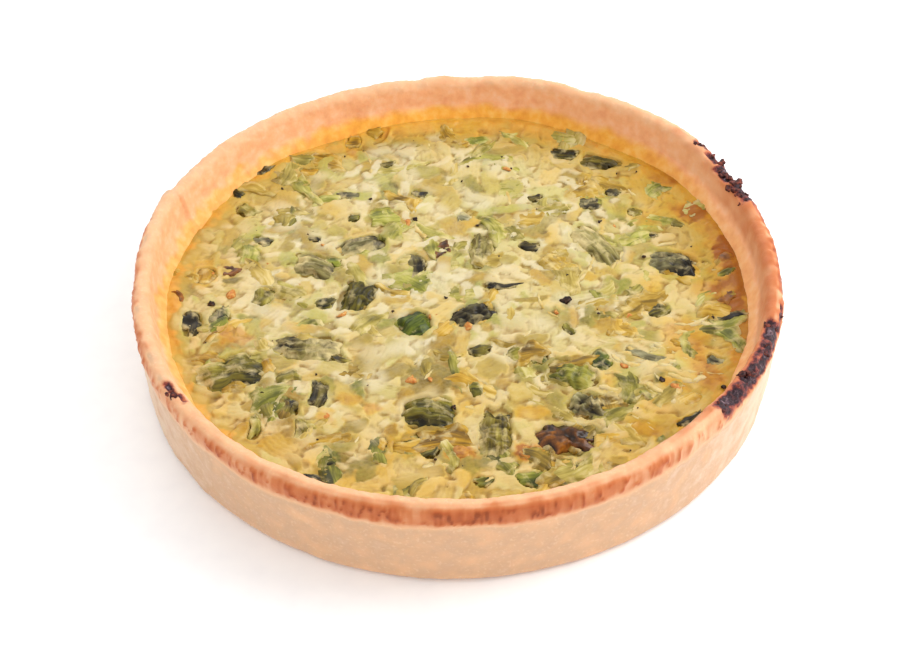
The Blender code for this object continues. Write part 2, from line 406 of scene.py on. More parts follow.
def golden(angle, radius, height):
    """How golden the inner face is: 1 where egg soaked it, 0.5 on the peach band over that."""
    if radius > CREST_RADIUS:
        return 0.0
    here = Vector((math.cos(angle) * radius, math.sin(angle) * radius, height))
    left = smoothstep(80.0, 40.0, abs(degrees_past(angle, 185.0)))
    ragged = 0.9 * noise.noise(here / 6.0) + mix(0.4, 1.8, left) * noise.noise(here / 2.2)
    line = INNER_FACE_BOTTOM + 0.6 + ragged
    # Less gold and peach at the right lets the browner crust show: the same browning and painted shade as in
    # browned().
    right = smoothstep(60.0, 20.0, abs(degrees_past(angle, -8.0)))
    peach = (1.0 - 0.8 * right) * smoothstep(SHELL_HEIGHT + 0.1, CREST_HEIGHT - 0.8, height)
    return max(0.5 * peach, (1.0 - 0.35 * right - 0.15 * left) * (1.0 - smoothstep(line - 2.0, line + 1.8, height)))


def cracked(angle, radius, height):
    """How deep a fine upright crack is in the lip."""
    if radius < CREST_RADIUS:
        return 0.0
    lip = smoothstep(15.4, 17.2, height) * smoothstep(19.6, 18.6, height)
    if lip <= 0.0:
        return 0.0
    front = smoothstep(95.0, 35.0, abs(degrees_past(angle, -100.0)))
    around = Vector((math.cos(angle), math.sin(angle), 0.0)) * RIM_RADIUS
    wander = around / 1.5 + Vector((0.0, 0.0, height / 5.5))
    line = 1.0 - smoothstep(0.0, 0.16, abs(noise.noise(wander)))
    return lip * line * mix(0.35, 1.0, front)


# %% [markdown]
# The amounts are stored on the points, and the same loop moves them: first the slow waves, then lumps,
# cracks and the blistered crust of the burns, pushed out along the surface.

# %% Shape the shell
def shape_shell(bm):
    """Moves the shell's points and records the four amounts on each."""
    layers = {name: bm.verts.layers.float.new(name) for name in ("browned", "golden", "burnt", "cracked")}
    bm.normal_update()
    pushes = []
    for vert in bm.verts:
        radius = math.hypot(vert.co.x, vert.co.y)
        angle = math.atan2(vert.co.y, vert.co.x)
        height = vert.co.z
        shown = smoothstep(POOL_RADIUS - 2.0, POOL_RADIUS, radius) * smoothstep(0.0, 1.2, height)
        if shown <= 0.0:
            pushes.append(Vector())
            continue
        char = burnt(angle, radius, height)
        crack = cracked(angle, radius, height)
        vert[layers["browned"]] = browned(angle, radius, height)
        vert[layers["golden"]] = golden(angle, radius, height)
        vert[layers["burnt"]] = char
        vert[layers["cracked"]] = crack
        here = vert.co.copy()
        lumps = 0.2 * noise.noise(here / 6.0) + 0.12 * noise.noise(here / 2.4)
        crumb = 0.045 * noise.noise(here / 0.8)
        rim = smoothstep(CREST_HEIGHT - 1.5, SHELL_HEIGHT, height)
        torn = rim * (0.2 * noise.noise(here / 1.7) + 0.14 * noise.noise(here / 0.7))
        wrinkles = abs(noise.noise(Vector((angle * 60.0, radius / 3.0, height / 3.0))))
        blister = char * (0.3 + 1.3 * wrinkles + 0.5 * abs(noise.noise(here / 0.9)))
        pushes.append(vert.normal * shown * (lumps + crumb + torn + blister - 0.3 * crack))
    for vert, push in zip(bm.verts, pushes):
        radius = math.hypot(vert.co.x, vert.co.y)
        angle = math.atan2(vert.co.y, vert.co.x)
        height = vert.co.z
        vert.co += push
        if radius >= FLOOR_RADIUS:
            swell = wall_swell(angle) * smoothstep(2.0, SHELL_HEIGHT, height) / radius
            vert.co.x *= 1.0 + swell
            vert.co.y *= 1.0 + swell
            vert.co.z += rim_rise(angle) * smoothstep(CUSTARD_LEVEL, SHELL_HEIGHT, height)


shape_shell(shell_bm)

# %% [markdown]
# ## Baked shortcrust
#
# Baked pastry is flour, butter and a little sugar: a matt, slightly sandy surface that browns from cream
# through amber to brown, with the butter leaving a faint sheen. Light enters the outer half millimetre,
# so its shadows glow warm, which subsurface scattering gives. Char is matt carbon with a dark red border
# where the sugar has only just burnt.

# %% Pastry material
WALL_GOLD = ((0.3, "D8902E"), (0.5, "E4A23A"), (0.7, "E8B45A"))


def shortcrust_material():
    material, tree = new_material("baked_shortcrust")
    place = add_node(tree, "ShaderNodeTexCoord").outputs["Object"]
    amounts = {}
    for name in ("browned", "golden", "burnt", "cracked"):
        amounts[name] = add_node(tree, "ShaderNodeAttribute", attribute_name=name).outputs["Fac"]
    # Mottling about 3 mm across and flour specks of about 0.6 mm.
    mottle = add_node(tree, "ShaderNodeTexNoise", {"Vector": place, "Scale": 330.0, "Detail": 4.0, "Roughness": 0.6})
    specks = add_node(tree, "ShaderNodeTexNoise", {"Vector": place, "Scale": 1600.0, "Detail": 2.0})
    shift = add_node(tree, "ShaderNodeMath", {0: mottle.outputs["Fac"], 1: 0.24, 2: -0.12}, operation="MULTIPLY_ADD")
    level = add_node(tree, "ShaderNodeMath", {0: amounts["browned"], 1: shift.outputs[0]}, operation="ADD")
    # Cracks push the tone browner and darker: painted shade in the cracks.
    cut = add_node(tree, "ShaderNodeMath", {0: amounts["cracked"], 1: 0.3, 2: level.outputs[0]},
                   operation="MULTIPLY_ADD")
    crust = add_node(tree, "ShaderNodeValToRGB", {"Fac": cut.outputs[0]},
                     stops=((0.0, "DABCA0"), (0.12, "C8A07E"), (0.26, "DCAC82"), (0.42, "D59A70"),
                            (0.62, "C37444"), (0.82, "B05A2C"), (1.0, "8E431C")))
    blotch = add_node(tree, "ShaderNodeTexNoise", {"Vector": place, "Scale": 480.0, "Detail": 3.0})
    peach = add_node(tree, "ShaderNodeValToRGB", {"Fac": blotch.outputs["Fac"]},
                     stops=((0.3, "E4A072"), (0.5, "ECAE7E"), (0.7, "EEBA92")))
    gold = add_node(tree, "ShaderNodeValToRGB", {"Fac": blotch.outputs["Fac"]}, stops=WALL_GOLD)
    upper = add_node(tree, "ShaderNodeMapRange", {"Value": amounts["golden"], "From Min": 0.0, "From Max": 0.5})
    lower = add_node(tree, "ShaderNodeMapRange", {"Value": amounts["golden"], "From Min": 0.5, "From Max": 1.0})
    inner = add_node(tree, "ShaderNodeMix", {MIX_FACTOR: upper.outputs["Result"], MIX_A: crust.outputs["Color"],
                                             MIX_B: peach.outputs["Color"]}, data_type="RGBA")
    face = add_node(tree, "ShaderNodeMix", {MIX_FACTOR: lower.outputs["Result"], MIX_A: inner.outputs[MIX_RESULT],
                                            MIX_B: gold.outputs["Color"]}, data_type="RGBA")
    pallor = add_node(tree, "ShaderNodeMapRange", {"Value": amounts["browned"], "From Min": 0.5, "From Max": 0.2,
                                                   "To Max": 0.3})
    flour = add_node(tree, "ShaderNodeMapRange", {"Value": specks.outputs["Fac"], "From Min": 0.56,
                                                  "From Max": 0.7, "To Max": pallor.outputs["Result"]})
    bare = add_node(tree, "ShaderNodeMath", {0: 1.0, 1: amounts["golden"]}, operation="SUBTRACT")
    floured = add_node(tree, "ShaderNodeMath", {0: flour.outputs["Result"], 1: bare.outputs[0]}, operation="MULTIPLY")
    dusted = add_node(tree, "ShaderNodeMix", {MIX_FACTOR: floured.outputs[0], MIX_A: face.outputs[MIX_RESULT],
                                              MIX_B: "E6C9A4"}, data_type="RGBA")
    # Burnt patches: sugar goes from red-brown to a purple black; the greys at the top of the ramp are a painted
    # highlight, laid by noise.
    scorch = add_node(tree, "ShaderNodeTexNoise", {"Vector": place, "Scale": 650.0, "Detail": 4.0, "Roughness": 0.65})
    ragged = add_node(tree, "ShaderNodeMath", {0: scorch.outputs["Fac"], 1: 2.6, 2: -1.3}, operation="MULTIPLY_ADD")
    depth = add_node(tree, "ShaderNodeMath", {0: amounts["burnt"], 1: ragged.outputs[0]}, operation="ADD")
    charring = add_node(tree, "ShaderNodeMath", {0: depth.outputs[0], 1: 0.65}, operation="MULTIPLY")
    char = add_node(tree, "ShaderNodeValToRGB", {"Fac": charring.outputs[0]},
                    stops=((0.1, "B86844"), (0.28, "8A4034"), (0.45, "542A2C"), (0.62, "22151B"),
                           (0.78, "4A323A"), (0.95, "80686E")))
    firm = add_node(tree, "ShaderNodeMapRange", {"Value": amounts["burnt"], "From Min": 0.0, "From Max": 0.35})
    colour = add_node(tree, "ShaderNodeMix", {MIX_FACTOR: firm.outputs["Result"], MIX_A: dusted.outputs[MIX_RESULT],
                                              MIX_B: char.outputs["Color"]}, data_type="RGBA")
    grain = add_node(tree, "ShaderNodeTexNoise", {"Vector": place, "Scale": 2300.0, "Detail": 3.0, "Roughness": 0.6})
    bump = add_node(tree, "ShaderNodeBump", {"Strength": 0.4, "Distance": 0.00014, "Height": grain.outputs["Fac"]})
    shader = add_node(tree, "ShaderNodeBsdfPrincipled", {
        "Base Color": colour.outputs[MIX_RESULT], "Roughness": 0.55, "IOR": 1.45, "Normal": bump.outputs["Normal"],
        "Specular IOR Level": 0.25, "Subsurface Weight": 0.25, "Subsurface Radius": (1.0, 0.5, 0.25), "Subsurface Scale": 0.001,
        "Sheen Weight": 0.08})
    add_node(tree, "ShaderNodeOutputMaterial", {"Surface": shader.outputs["BSDF"]})
    return material


SHORTCRUST = shortcrust_material()
CRUST_SURFACE = BVHTree.FromBMesh(shell_bm)
finish_piece("crust_baked", shell_bm, SHORTCRUST, ["crust"])

# %% [markdown]
# ## Planning the leek
#
# Sliced leek falls into short curved strips and half rings. Most of them lie just under the custard's
# skin, some lie in it and a few lie on it. A slice is described once: where its middle is, how long and
# wide it is, which way it is turned, how much it bends, its tone from pale stem (0) to dark leaf (1), its
# hue from cold (-1) to warm (1), how far it lifts the custard, and its tilt. Both the custard's relief and
# the loose slices read that.

# %% Slices
Slice = namedtuple("Slice", "x y length width turn bend tone hue lift tilt")

SLICE_SPACING = 3.5
STREAK_SPACING = 4.2
SLICE_JITTER = 1.8
BED_RADIUS = 53.0
CREAM = -1.0


def scattered(seed, spacing, radius):
    """Middles on a loosely shaken honeycomb, so that they are even but not in rows."""
    draw = random.Random(seed)
    rows = int(radius / (spacing * 0.87)) + 1
    places = []
    for row in range(-rows, rows + 1):
        for column in range(-rows - 2, rows + 3):
            x = (column + 0.5 * (row % 2)) * spacing + draw.uniform(-SLICE_JITTER, SLICE_JITTER)
            y = row * spacing * 0.87 + draw.uniform(-SLICE_JITTER, SLICE_JITTER)
            if math.hypot(x, y) < radius:
                places.append((x, y))
    draw.shuffle(places)
    return places


def random_slice(draw, x, y):
    """A slice of any size; greener and browner slices keep together in patches."""
    length = draw.triangular(3.5, 12.0, 6.0)
    width = min(length * 0.8, draw.triangular(2.0, 6.5, 3.4))
    patch = noise.noise(Vector((x, y, 0.0)) / 9.0) + 0.5 * noise.noise(Vector((x, y, 7.0)) / 4.5)
    front = smoothstep(0.0, -40.0, y)
    tone = draw.uniform(0.08, 0.42) + mix(0.95, 1.3, front) * patch + 0.1 * front
    hue = draw.uniform(-1.0, 1.0) - 0.4 * patch + 0.3 * front
    return Slice(x, y, length, width, draw.uniform(0.0, 180.0), draw.uniform(-1.0, 1.0),
                 min(tone, mix(0.5, 0.75, front)), hue, draw.uniform(0.0, 0.5), draw.uniform(-0.2, 0.2))


def cream_streak(draw, x, y):
    """A streak of custard over the leek. Streaks run together, most of all at the right front."""
    combed = smoothstep(26.0, 12.0, math.hypot(x - 36.0, y + 20.0))
    turn = mix(draw.uniform(0.0, 180.0), draw.gauss(-28.0, 10.0), combed)
    length = draw.uniform(2.5, 6.5) + 4.0 * combed * draw.random()
    return Slice(x, y, length, draw.triangular(1.0, 3.4, 1.8), turn, draw.uniform(-1.6, 1.6),
                 CREAM, 0.0, draw.uniform(0.1, 0.4), draw.uniform(-0.1, 0.1))


slice_draw = random.Random(11)
SLICES = [random_slice(slice_draw, x, y) for x, y in scattered(5, SLICE_SPACING, BED_RADIUS)]
STREAKS = [cream_streak(slice_draw, x, y) for x, y in scattered(6, STREAK_SPACING, BED_RADIUS - 1.0)]
print(len(SLICES), "slices of leek under the skin,", len(STREAKS), "streaks of cream")

# %% [markdown]
# The sixteen large pieces have nodes of their own, so their places are fixed. Each is also given its own
# character, as no two leaves cook alike: how dark it is, how much paler it is at one side and towards
# which side it darkens, how much custard veils it, and how ribbed and crinkled it is.

# %% The leaves with nodes of their own
Leaf = namedtuple("Leaf", "x y length width turn arch tone fade toward hue veil ribs crinkle")

LEAVES = {
    "leek_leaf_broad": Leaf(-41.4, -19.2, 12.4, 8.8, 4.0, 0.7, 0.88, 0.6, -30.0, 0.15, 0.4, 0.14, 0.15),
    "leek_leaf_veiled": Leaf(-28.0, -13.5, 12.4, 6.8, -8.0, 0.7, 0.82, 0.4, 130.0, -0.4, 0.5, 0.1, 0.25),
    "leek_leaf_twisted": Leaf(3.0, -6.2, 9.0, 5.0, 14.0, 1.1, 1.0, 0.2, 60.0, -1.0, 0.05, 0.2, 0.4),
    "leek_leaf_upright": Leaf(5.0, 12.2, 11.4, 5.0, 82.0, 0.6, 0.62, 0.35, 0.0, -0.3, 0.45, 0.08, 0.1),
    "leek_leaf_curled": Leaf(42.4, 6.8, 10.6, 7.0, -25.0, 1.1, 1.2, 0.75, -10.0, -0.9, 0.1, 0.16, 0.3),
    "leek_leaf_browned": Leaf(18.2, -37.8, 11.4, 7.2, -10.0, 0.9, 1.05, 0.35, 60.0, 0.0, 0.0, 0.1, 0.35),
    "leek_stem_ribbed": Leaf(6.4, -35.6, 12.4, 6.0, 86.0, 0.9, 0.74, 0.2, 0.0, 0.0, 0.4, -0.24, 0.25),
    "leek_leaf_crinkled": Leaf(22.6, -30.0, 7.6, 6.0, -26.0, 0.9, 0.85, 0.4, 0.0, -0.7, 0.3, 0.1, 0.6),
    "leek_stem_chunk": Leaf(-5.2, -30.6, 9.4, 7.4, -8.0, 1.1, 1.0, 0.5, -90.0, 0.2, 0.1, 0.1, 0.3),
    "leek_stem_diced": Leaf(-8.0, -7.8, 6.8, 6.4, 40.0, 1.0, 0.88, 0.25, 90.0, 1.0, -0.2, 0.05, 0.15),
    "leek_leaf_slanting": Leaf(27.6, 12.6, 14.0, 6.0, -58.0, 0.6, 0.5, 0.2, 0.0, -0.4, 0.6, 0.12, 0.1),
    "leek_leaf_grey": Leaf(-18.4, 14.8, 9.0, 5.0, 15.0, 0.7, 0.9, 0.6, 45.0, -0.8, 0.4, 0.1, 0.15),
    "leek_leaf_lump": Leaf(-18.7, 0.4, 9.0, 6.6, 68.0, 1.2, 0.86, 0.15, 0.0, 0.2, 0.0, 0.05, 0.2),
    "leek_leaf_folded": Leaf(-27.0, 8.6, 9.6, 6.2, -24.0, 0.8, 0.6, 0.25, 0.0, -0.5, 0.5, 0.14, 0.15),
    "leek_leaf_far": Leaf(30.2, 38.5, 8.6, 4.4, -20.0, 0.6, 0.86, 0.25, 0.0, 0.0, 0.1, 0.1, 0.2),
    "leek_leaf_split": Leaf(20.4, -22.4, 9.0, 6.4, -20.0, 0.8, 0.75, 0.45, 180.0, 0.5, 0.2, 0.1, 0.35),
}

# %% [markdown]
# The smaller bits that catch the eye are laid one by one too, as a cook would tuck them in. A row gives the
# middle, the length and width, the turn, the tone and the hue. The sunk slices only show through the
# custard's skin; the dark and the golden shreds lie in it as pieces.

# %% Shreds laid one by one
DARK_SHREDS = (
    (-7.6, 8.3, 6.6, 3.2, 100.0, 0.8, -0.6), (23.0, 42.0, 5.8, 3.6, -15.0, 0.95, 0.2),
    (-39.4, 38.6, 4.2, 3.4, 10.0, 1.0, -0.4), (-25.0, -25.8, 6.2, 3.6, 84.0, 0.95, -0.3),
    (-49.6, -6.8, 6.4, 3.6, 100.0, 0.9, -0.6), (27.2, 25.4, 4.6, 3.6, -8.0, 0.85, -0.8),
    (11.8, -46.8, 4.8, 3.4, 4.0, 0.62, 0.7), (8.3, 1.3, 6.4, 2.0, -4.0, 1.0, -0.9),
    (-44.5, -5.2, 5.0, 4.0, 60.0, 0.85, 0.6), (14.6, 13.2, 3.8, 2.8, 0.0, 0.95, -0.2),
    (39.9, -35.0, 5.0, 2.0, 28.0, 0.95, -0.6), (50.2, -8.6, 6.6, 2.4, -12.0, 0.95, -0.6),
    (51.4, 3.6, 3.6, 1.8, 20.0, 0.6, 0.3), (-19.9, 22.9, 2.4, 2.0, 0.0, 0.75, 0.3),
    (-27.5, 17.0, 2.6, 1.4, 0.0, 1.0, -0.2), (-7.0, 30.3, 3.0, 2.0, -10.0, 0.9, -0.6),
    (32.1, 28.6, 3.0, 2.4, 0.0, 0.85, -0.6), (16.5, 28.0, 3.0, 1.8, 10.0, 0.95, -0.2),
    (38.8, 15.2, 2.0, 1.2, 0.0, 0.95, 0.0), (4.0, -15.2, 4.4, 2.6, 8.0, 0.75, 0.1),
    (14.8, -17.6, 3.2, 3.2, 0.0, 0.8, 0.7), (3.4, -25.0, 3.0, 3.4, 0.0, 0.75, 0.3),
    (-5.1, -40.0, 3.4, 2.4, 30.0, 0.85, 0.2), (-43.8, 31.2, 2.4, 1.8, -30.0, 0.9, 0.0),
    (-23.6, -44.8, 7.0, 1.4, -8.0, 0.85, -0.6), (20.4, -10.8, 3.6, 1.6, -60.0, 0.8, 0.2),
    (37.6, -6.2, 4.8, 3.4, 30.0, 0.75, 0.1), (-21.6, -16.8, 3.4, 1.6, -35.0, 0.9, 0.0),
    (25.6, -19.2, 4.6, 4.0, -60.0, 0.8, 0.8), (32.9, -27.6, 3.6, 2.4, -60.0, 0.7, 0.5),
    (-13.4, 40.6, 3.4, 1.4, 20.0, 0.8, -0.3), (-22.8, -41.8, 2.6, 2.0, 0.0, 0.7, 0.3),
    (20.2, -45.0, 2.0, 3.4, 0.0, 0.8, -0.2), (10.8, -16.4, 3.4, 3.0, 20.0, 0.6, 0.2),
    (3.8, -47.1, 3.4, 2.0, 0.0, 0.6, 0.4), (-30.4, -28.8, 5.0, 4.0, 80.0, 0.6, 0.0),
    (-27.7, -34.0, 4.2, 2.4, 90.0, 0.5, 0.0), (-35.8, -32.7, 5.0, 2.0, 90.0, 0.5, 0.2),
    (-24.8, -1.6, 3.8, 3.0, 10.0, 0.75, 0.2), (-23.7, 10.2, 3.0, 2.6, -20.0, 0.55, 0.9),
    (-36.7, 0.7, 4.6, 4.0, 80.0, 0.55, 0.1), (-41.8, 26.7, 4.0, 3.5, -40.0, 0.5, -0.1),
    (-31.4, 42.0, 5.0, 3.0, 0.0, 0.5, -0.1), (-14.4, 23.9, 4.0, 2.6, -10.0, 0.4, 0.7),
    (36.0, 22.2, 3.0, 2.4, -20.0, 0.5, 0.0), (43.9, 18.4, 3.0, 2.0, -30.0, 0.55, -0.1),
    (-21.4, 30.0, 5.0, 2.0, -8.0, 0.65, -1.0), (1.9, 23.0, 3.0, 2.4, -40.0, 0.55, -1.0),
    (-37.6, 16.7, 4.0, 2.6, -20.0, 0.6, -1.0), (33.6, -18.2, 7.0, 2.2, -30.0, 0.5, -1.0),
    (46.1, -19.6, 3.0, 2.0, -40.0, 0.55, -1.0), (27.1, 26.2, 3.4, 2.4, 0.0, 0.65, -1.0),
)
SUNK_SLICES = (
    (-31.0, 39.4, 8.5, 6.0, 88.0, 0.45, 0.4), (-34.0, 29.0, 7.0, 6.0, 90.0, 0.35, 0.6), (-32.8, 33.4, 6.0, 2.6, 0.0, 0.5, 0.1),
    (-28.0, 33.8, 4.4, 3.4, 60.0, 0.5, 0.0), (-18.0, 29.6, 4.4, 3.0, 0.0, 0.3, -1.0), (-14.6, 23.4, 6.4, 3.6, -12.0, 0.5, 0.6),
    (-23.0, 19.0, 5.4, 3.0, -30.0, 0.38, -0.3), (-31.0, 19.0, 6.0, 3.0, 62.0, 0.5, 0.3), (-29.0, 16.4, 7.0, 3.0, 100.0, 0.5, 0.4),
    (-33.0, 15.0, 4.4, 3.0, 70.0, 0.45, 0.2), (-25.6, 11.4, 7.0, 3.4, -42.0, 0.6, 0.6), (-22.4, 6.4, 5.4, 3.0, 110.0, 0.58, 0.4),
    (-37.0, 0.4, 10.0, 4.0, 96.0, 0.5, 0.1), (-43.0, 5.2, 4.4, 1.8, 0.0, 0.75, 0.0), (-48.6, 8.0, 9.5, 4.4, 96.0, 0.5, 1.0),
    (-51.0, 13.0, 5.4, 3.0, 70.0, 0.5, 0.7), (-51.4, 17.6, 5.0, 2.2, 92.0, 0.5, 0.0), (-44.0, 18.0, 6.0, 4.0, 90.0, 0.35, 0.4),
    (-6.0, 37.4, 7.4, 4.6, -10.0, 0.38, -0.4), (-2.4, 31.4, 8.4, 4.0, -26.0, 0.36, 0.5), (-1.0, 27.4, 6.4, 5.0, 60.0, 0.3, 0.2),
    (4.2, 32.4, 6.6, 3.0, -62.0, 0.52, -0.3), (19.0, 25.0, 5.4, 2.6, 0.0, 0.45, 0.2), (31.0, 23.0, 7.0, 3.0, 96.0, 0.36, -0.7),
    (10.0, 20.0, 7.0, 4.0, 80.0, 0.4, 0.4), (19.6, 9.4, 8.6, 3.8, -56.0, 0.48, 0.6), (10.0, 9.4, 4.4, 3.2, 0.0, 0.42, 0.0),
    (25.6, 3.6, 3.4, 3.0, 60.0, 0.4, 1.0), (33.0, 9.0, 4.4, 3.0, 70.0, 0.4, 0.8), (-2.0, 8.0, 5.4, 4.0, 80.0, 0.34, 0.7),
    (14.0, -2.6, 8.0, 1.6, 6.0, 0.55, 0.3), (-29.0, -8.0, 8.4, 3.2, -10.0, 0.45, 0.6), (-32.4, -17.4, 5.4, 5.0, 0.0, 0.42, 0.1),
    (-18.0, -12.4, 5.6, 3.2, 42.0, 0.52, 0.2), (-16.0, -17.4, 8.0, 5.6, 64.0, 0.5, 0.2), (-12.0, -15.0, 7.0, 4.4, 70.0, 0.3, 0.0),
    (-12.0, -20.6, 6.6, 4.0, 30.0, 0.56, 0.3), (-30.4, -29.0, 9.6, 4.6, 80.0, 0.62, 0.8), (-23.4, -24.0, 6.0, 2.6, 96.0, 0.62, -0.4),
    (-31.0, -37.6, 6.4, 5.0, -40.0, 0.28, 0.8), (-29.0, -34.4, 4.6, 2.8, 0.0, 0.55, 0.8), (-36.4, -27.4, 4.6, 3.4, 40.0, 0.48, 0.5),
    (-34.6, -23.0, 4.4, 3.2, 80.0, 0.56, 0.3), (-18.0, -33.6, 4.8, 3.2, 20.0, 0.5, 0.2), (-5.6, -25.4, 8.4, 6.8, 30.0, 0.7, 0.5),
    (-9.6, -27.0, 5.4, 4.0, 80.0, 0.55, 0.9), (-5.4, -34.0, 7.4, 3.2, -6.0, 0.66, 0.6), (-5.0, -44.4, 6.6, 3.2, 0.0, 0.52, 0.5),
    (-23.0, -42.4, 4.8, 3.4, 20.0, 0.58, 0.4), (-9.0, -46.4, 6.4, 3.2, 10.0, 0.5, -0.2), (-28.4, -41.0, 4.6, 2.4, 120.0, 0.58, 0.5),
    (-20.0, -38.4, 4.6, 2.4, 0.0, 0.52, -0.3), (6.0, -19.6, 6.6, 6.0, 30.0, 0.4, 0.3), (10.8, -18.6, 7.0, 3.6, 108.0, 0.6, 0.4),
    (14.0, -12.8, 6.6, 2.6, 0.0, 0.46, 0.2), (12.6, -31.4, 6.6, 4.2, 0.0, 0.45, 1.0), (20.8, -41.6, 7.0, 2.6, 96.0, 0.64, -0.2),
    (35.6, -23.6, 3.8, 2.8, 100.0, 0.75, -0.3), (42.0, -14.4, 10.0, 5.0, 10.0, 0.55, 1.0), (36.0, -12.8, 4.6, 3.2, 0.0, 0.5, -0.4),
    (33.0, -36.0, 7.6, 3.6, -30.0, 0.52, 1.0), (27.0, -37.6, 4.6, 3.2, 0.0, 0.42, 1.0), (27.0, -43.0, 3.4, 2.6, 0.0, 0.55, 0.4),
    (23.0, -37.4, 3.8, 2.4, 0.0, 0.82, -0.4), (21.6, -7.0, 7.0, 1.8, 96.0, 0.36, 1.0), (37.6, 29.0, 9.4, 5.0, 92.0, 0.5, 0.5),
    (40.4, 35.0, 6.6, 5.0, 80.0, 0.45, 0.7), (42.0, 22.0, 6.6, 5.0, 40.0, 0.5, 0.4), (44.4, 23.4, 4.6, 2.6, 60.0, 0.66, 0.6),
    (37.4, 19.0, 6.4, 4.0, 80.0, 0.46, -0.9), (33.2, 22.6, 4.6, 2.2, 80.0, 0.52, -0.6), (43.6, 17.4, 3.6, 2.8, 60.0, 0.62, 0.5),
    (46.6, 11.0, 6.0, 4.4, 60.0, 0.8, 0.3), (11.0, 43.6, 9.0, 2.6, 12.0, 0.5, 0.1), (-7.0, 51.6, 5.0, 3.6, 0.0, 0.55, 0.4),
    (19.0, 47.6, 3.8, 2.0, 90.0, 0.72, 0.6), (2.0, 48.6, 9.0, 4.0, -8.0, 0.42, 0.7), (-15.0, 45.4, 4.0, 3.0, 0.0, 0.4, 0.0),
)
GOLDEN_SHREDS = (
    (-13.9, -38.1, 4.2, 2.5, 80.0, 0.45, 1.0), (16.9, -43.8, 4.0, 3.0, 0.0, 0.5, 1.0),
    (-48.2, 6.8, 5.0, 4.0, 90.0, 0.5, 1.0), (-20.9, 48.0, 3.6, 3.4, 0.0, 0.5, 1.0),
    (-16.4, 51.0, 3.4, 3.2, 0.0, 0.6, 0.9), (-29.5, 37.9, 4.0, 2.4, 0.0, 0.35, 1.0),
    (40.6, -15.2, 5.0, 1.5, -30.0, 0.5, 1.0), (-8.6, -38.6, 7.0, 3.6, 0.0, 0.4, 1.0),
)


def shred(row, lift=0.5):
    x, y, length, width, turn, tone, hue = row
    return Slice(x, y, length, width, turn, 0.1 * length, tone, hue, lift, 0.05)


def leaf_bed(leaf):
    return Slice(leaf.x, leaf.y, leaf.length, leaf.width, leaf.turn, 0.0, 0.6, leaf.hue, 0.7, 0.0)


# %% [markdown]
# ## The custard
#
# Egg custard sets from the wall inwards. It creeps up the pastry, sags a little over every strip of leek
# and leaves pale cream ridges between them. A mesh of that is a height field: a square grid, rounded into
# a disc by formula, whose points are lifted slice by slice, later slices over earlier ones. Each point
# also records how clearly leek shows there, its tone and hue, and how far the custard is baked.

# %% Custard level and slice coordinates
CUSTARD_SEGMENTS = 300
CUSTARD_RADIUS = 55.4
FACE_STEEPNESS = 1.75
INNER_FACE = ((52.2, 7.25), (53.6, 10.8), (54.85, 12.4), (56.1, 14.3), (56.75, 18.0))


def custard_rise(x, y):
    return 0.35 * math.sin(0.11 * x + 0.7) * math.cos(0.13 * y) + 0.15 * math.sin(0.2 * (x + y))


def face_height(radius):
    """The height of the shell's inner face at a radius, before the slow waves."""
    for (near, low), (far, high) in zip(INNER_FACE, INNER_FACE[1:]):
        if radius < far:
            return mix(low, high, (radius - near) / (far - near))
    return INNER_FACE[-1][1]


def smear_depth(x, y):
    """How thick custard clings to the inner face, square to it; below 0 there is none. Most is at the left."""
    angle = math.atan2(y, x)
    left = smoothstep(80.0, 35.0, abs(degrees_past(angle, 185.0)))
    patchy = noise.noise(Vector((x, y, 3.0)) / 3.4) + 0.4 * noise.noise(Vector((x, y, 8.0)) / 1.3)
    return 0.35 * left + 0.4 * patchy - 0.6


def pool_level(x, y):
    """The custard's height before any relief, in millimetres, without what clings to the wall."""
    reach = POOL_RADIUS + 1.6 * noise.noise(Vector((x, y, 5.0)) / 7.0)
    climb = 0.8 * smoothstep(reach - 3.5, reach + 0.6, math.hypot(x, y))
    return CUSTARD_LEVEL + custard_rise(x, y) + climb


def custard_level(x, y):
    """The custard's height with the smears on the wall."""
    radius = math.hypot(x, y)
    level = pool_level(x, y)
    if radius < POOL_RADIUS:
        return level
    fade = smoothstep(CUSTARD_RADIUS, CUSTARD_RADIUS - 1.0, radius)
    return max(level, face_height(radius) + FACE_STEEPNESS * (smear_depth(x, y) * fade - 0.6 * (1.0 - fade)))


def open_pool(x, y):
    """1 in the pool, 0 on the wall, where nothing lifts the custard."""
    return smoothstep(POOL_RADIUS + 0.8, POOL_RADIUS - 0.8, math.hypot(x, y))


def slice_place(piece, u, v):
    """The point of a slice at u along it and v across it, both from -1 to 1."""
    along = u * piece.length / 2.0 * math.sqrt(1.0 - 0.3 * min(1.0, v * v))
    across = v * piece.width / 2.0 * math.sqrt(1.0 - 0.3 * min(1.0, u * u)) + piece.bend * (u * u - 0.35)
    turn = math.radians(piece.turn)
    x = piece.x + along * math.cos(turn) - across * math.sin(turn)
    y = piece.y + along * math.sin(turn) + across * math.cos(turn)
    return x, y


def slice_reading(piece, x, y):
    """u and v at a point of the custard, the other way round."""
    turn = math.radians(piece.turn)
    along = (x - piece.x) * math.cos(turn) + (y - piece.y) * math.sin(turn)
    across = (y - piece.y) * math.cos(turn) - (x - piece.x) * math.sin(turn)
    u = along / (piece.length / 2.0)
    v = (across - piece.bend * (min(1.0, u * u) - 0.35)) / (piece.width / 2.0)
    return u, v


# %% Lay the slices into the custard
def custard_disc():
    """A grid whose square is rounded into a disc, wide enough to reach just into the wall."""
    bm = bmesh.new()
    bmesh.ops.create_grid(bm, x_segments=CUSTARD_SEGMENTS, y_segments=CUSTARD_SEGMENTS, size=1.0)
    for vert in bm.verts:
        x = vert.co.x * math.sqrt(1.0 - vert.co.y ** 2 / 2.0)
        y = vert.co.y * math.sqrt(1.0 - vert.co.x ** 2 / 2.0)
        vert.co = (x * CUSTARD_RADIUS, y * CUSTARD_RADIUS, 0.0)
    return bm


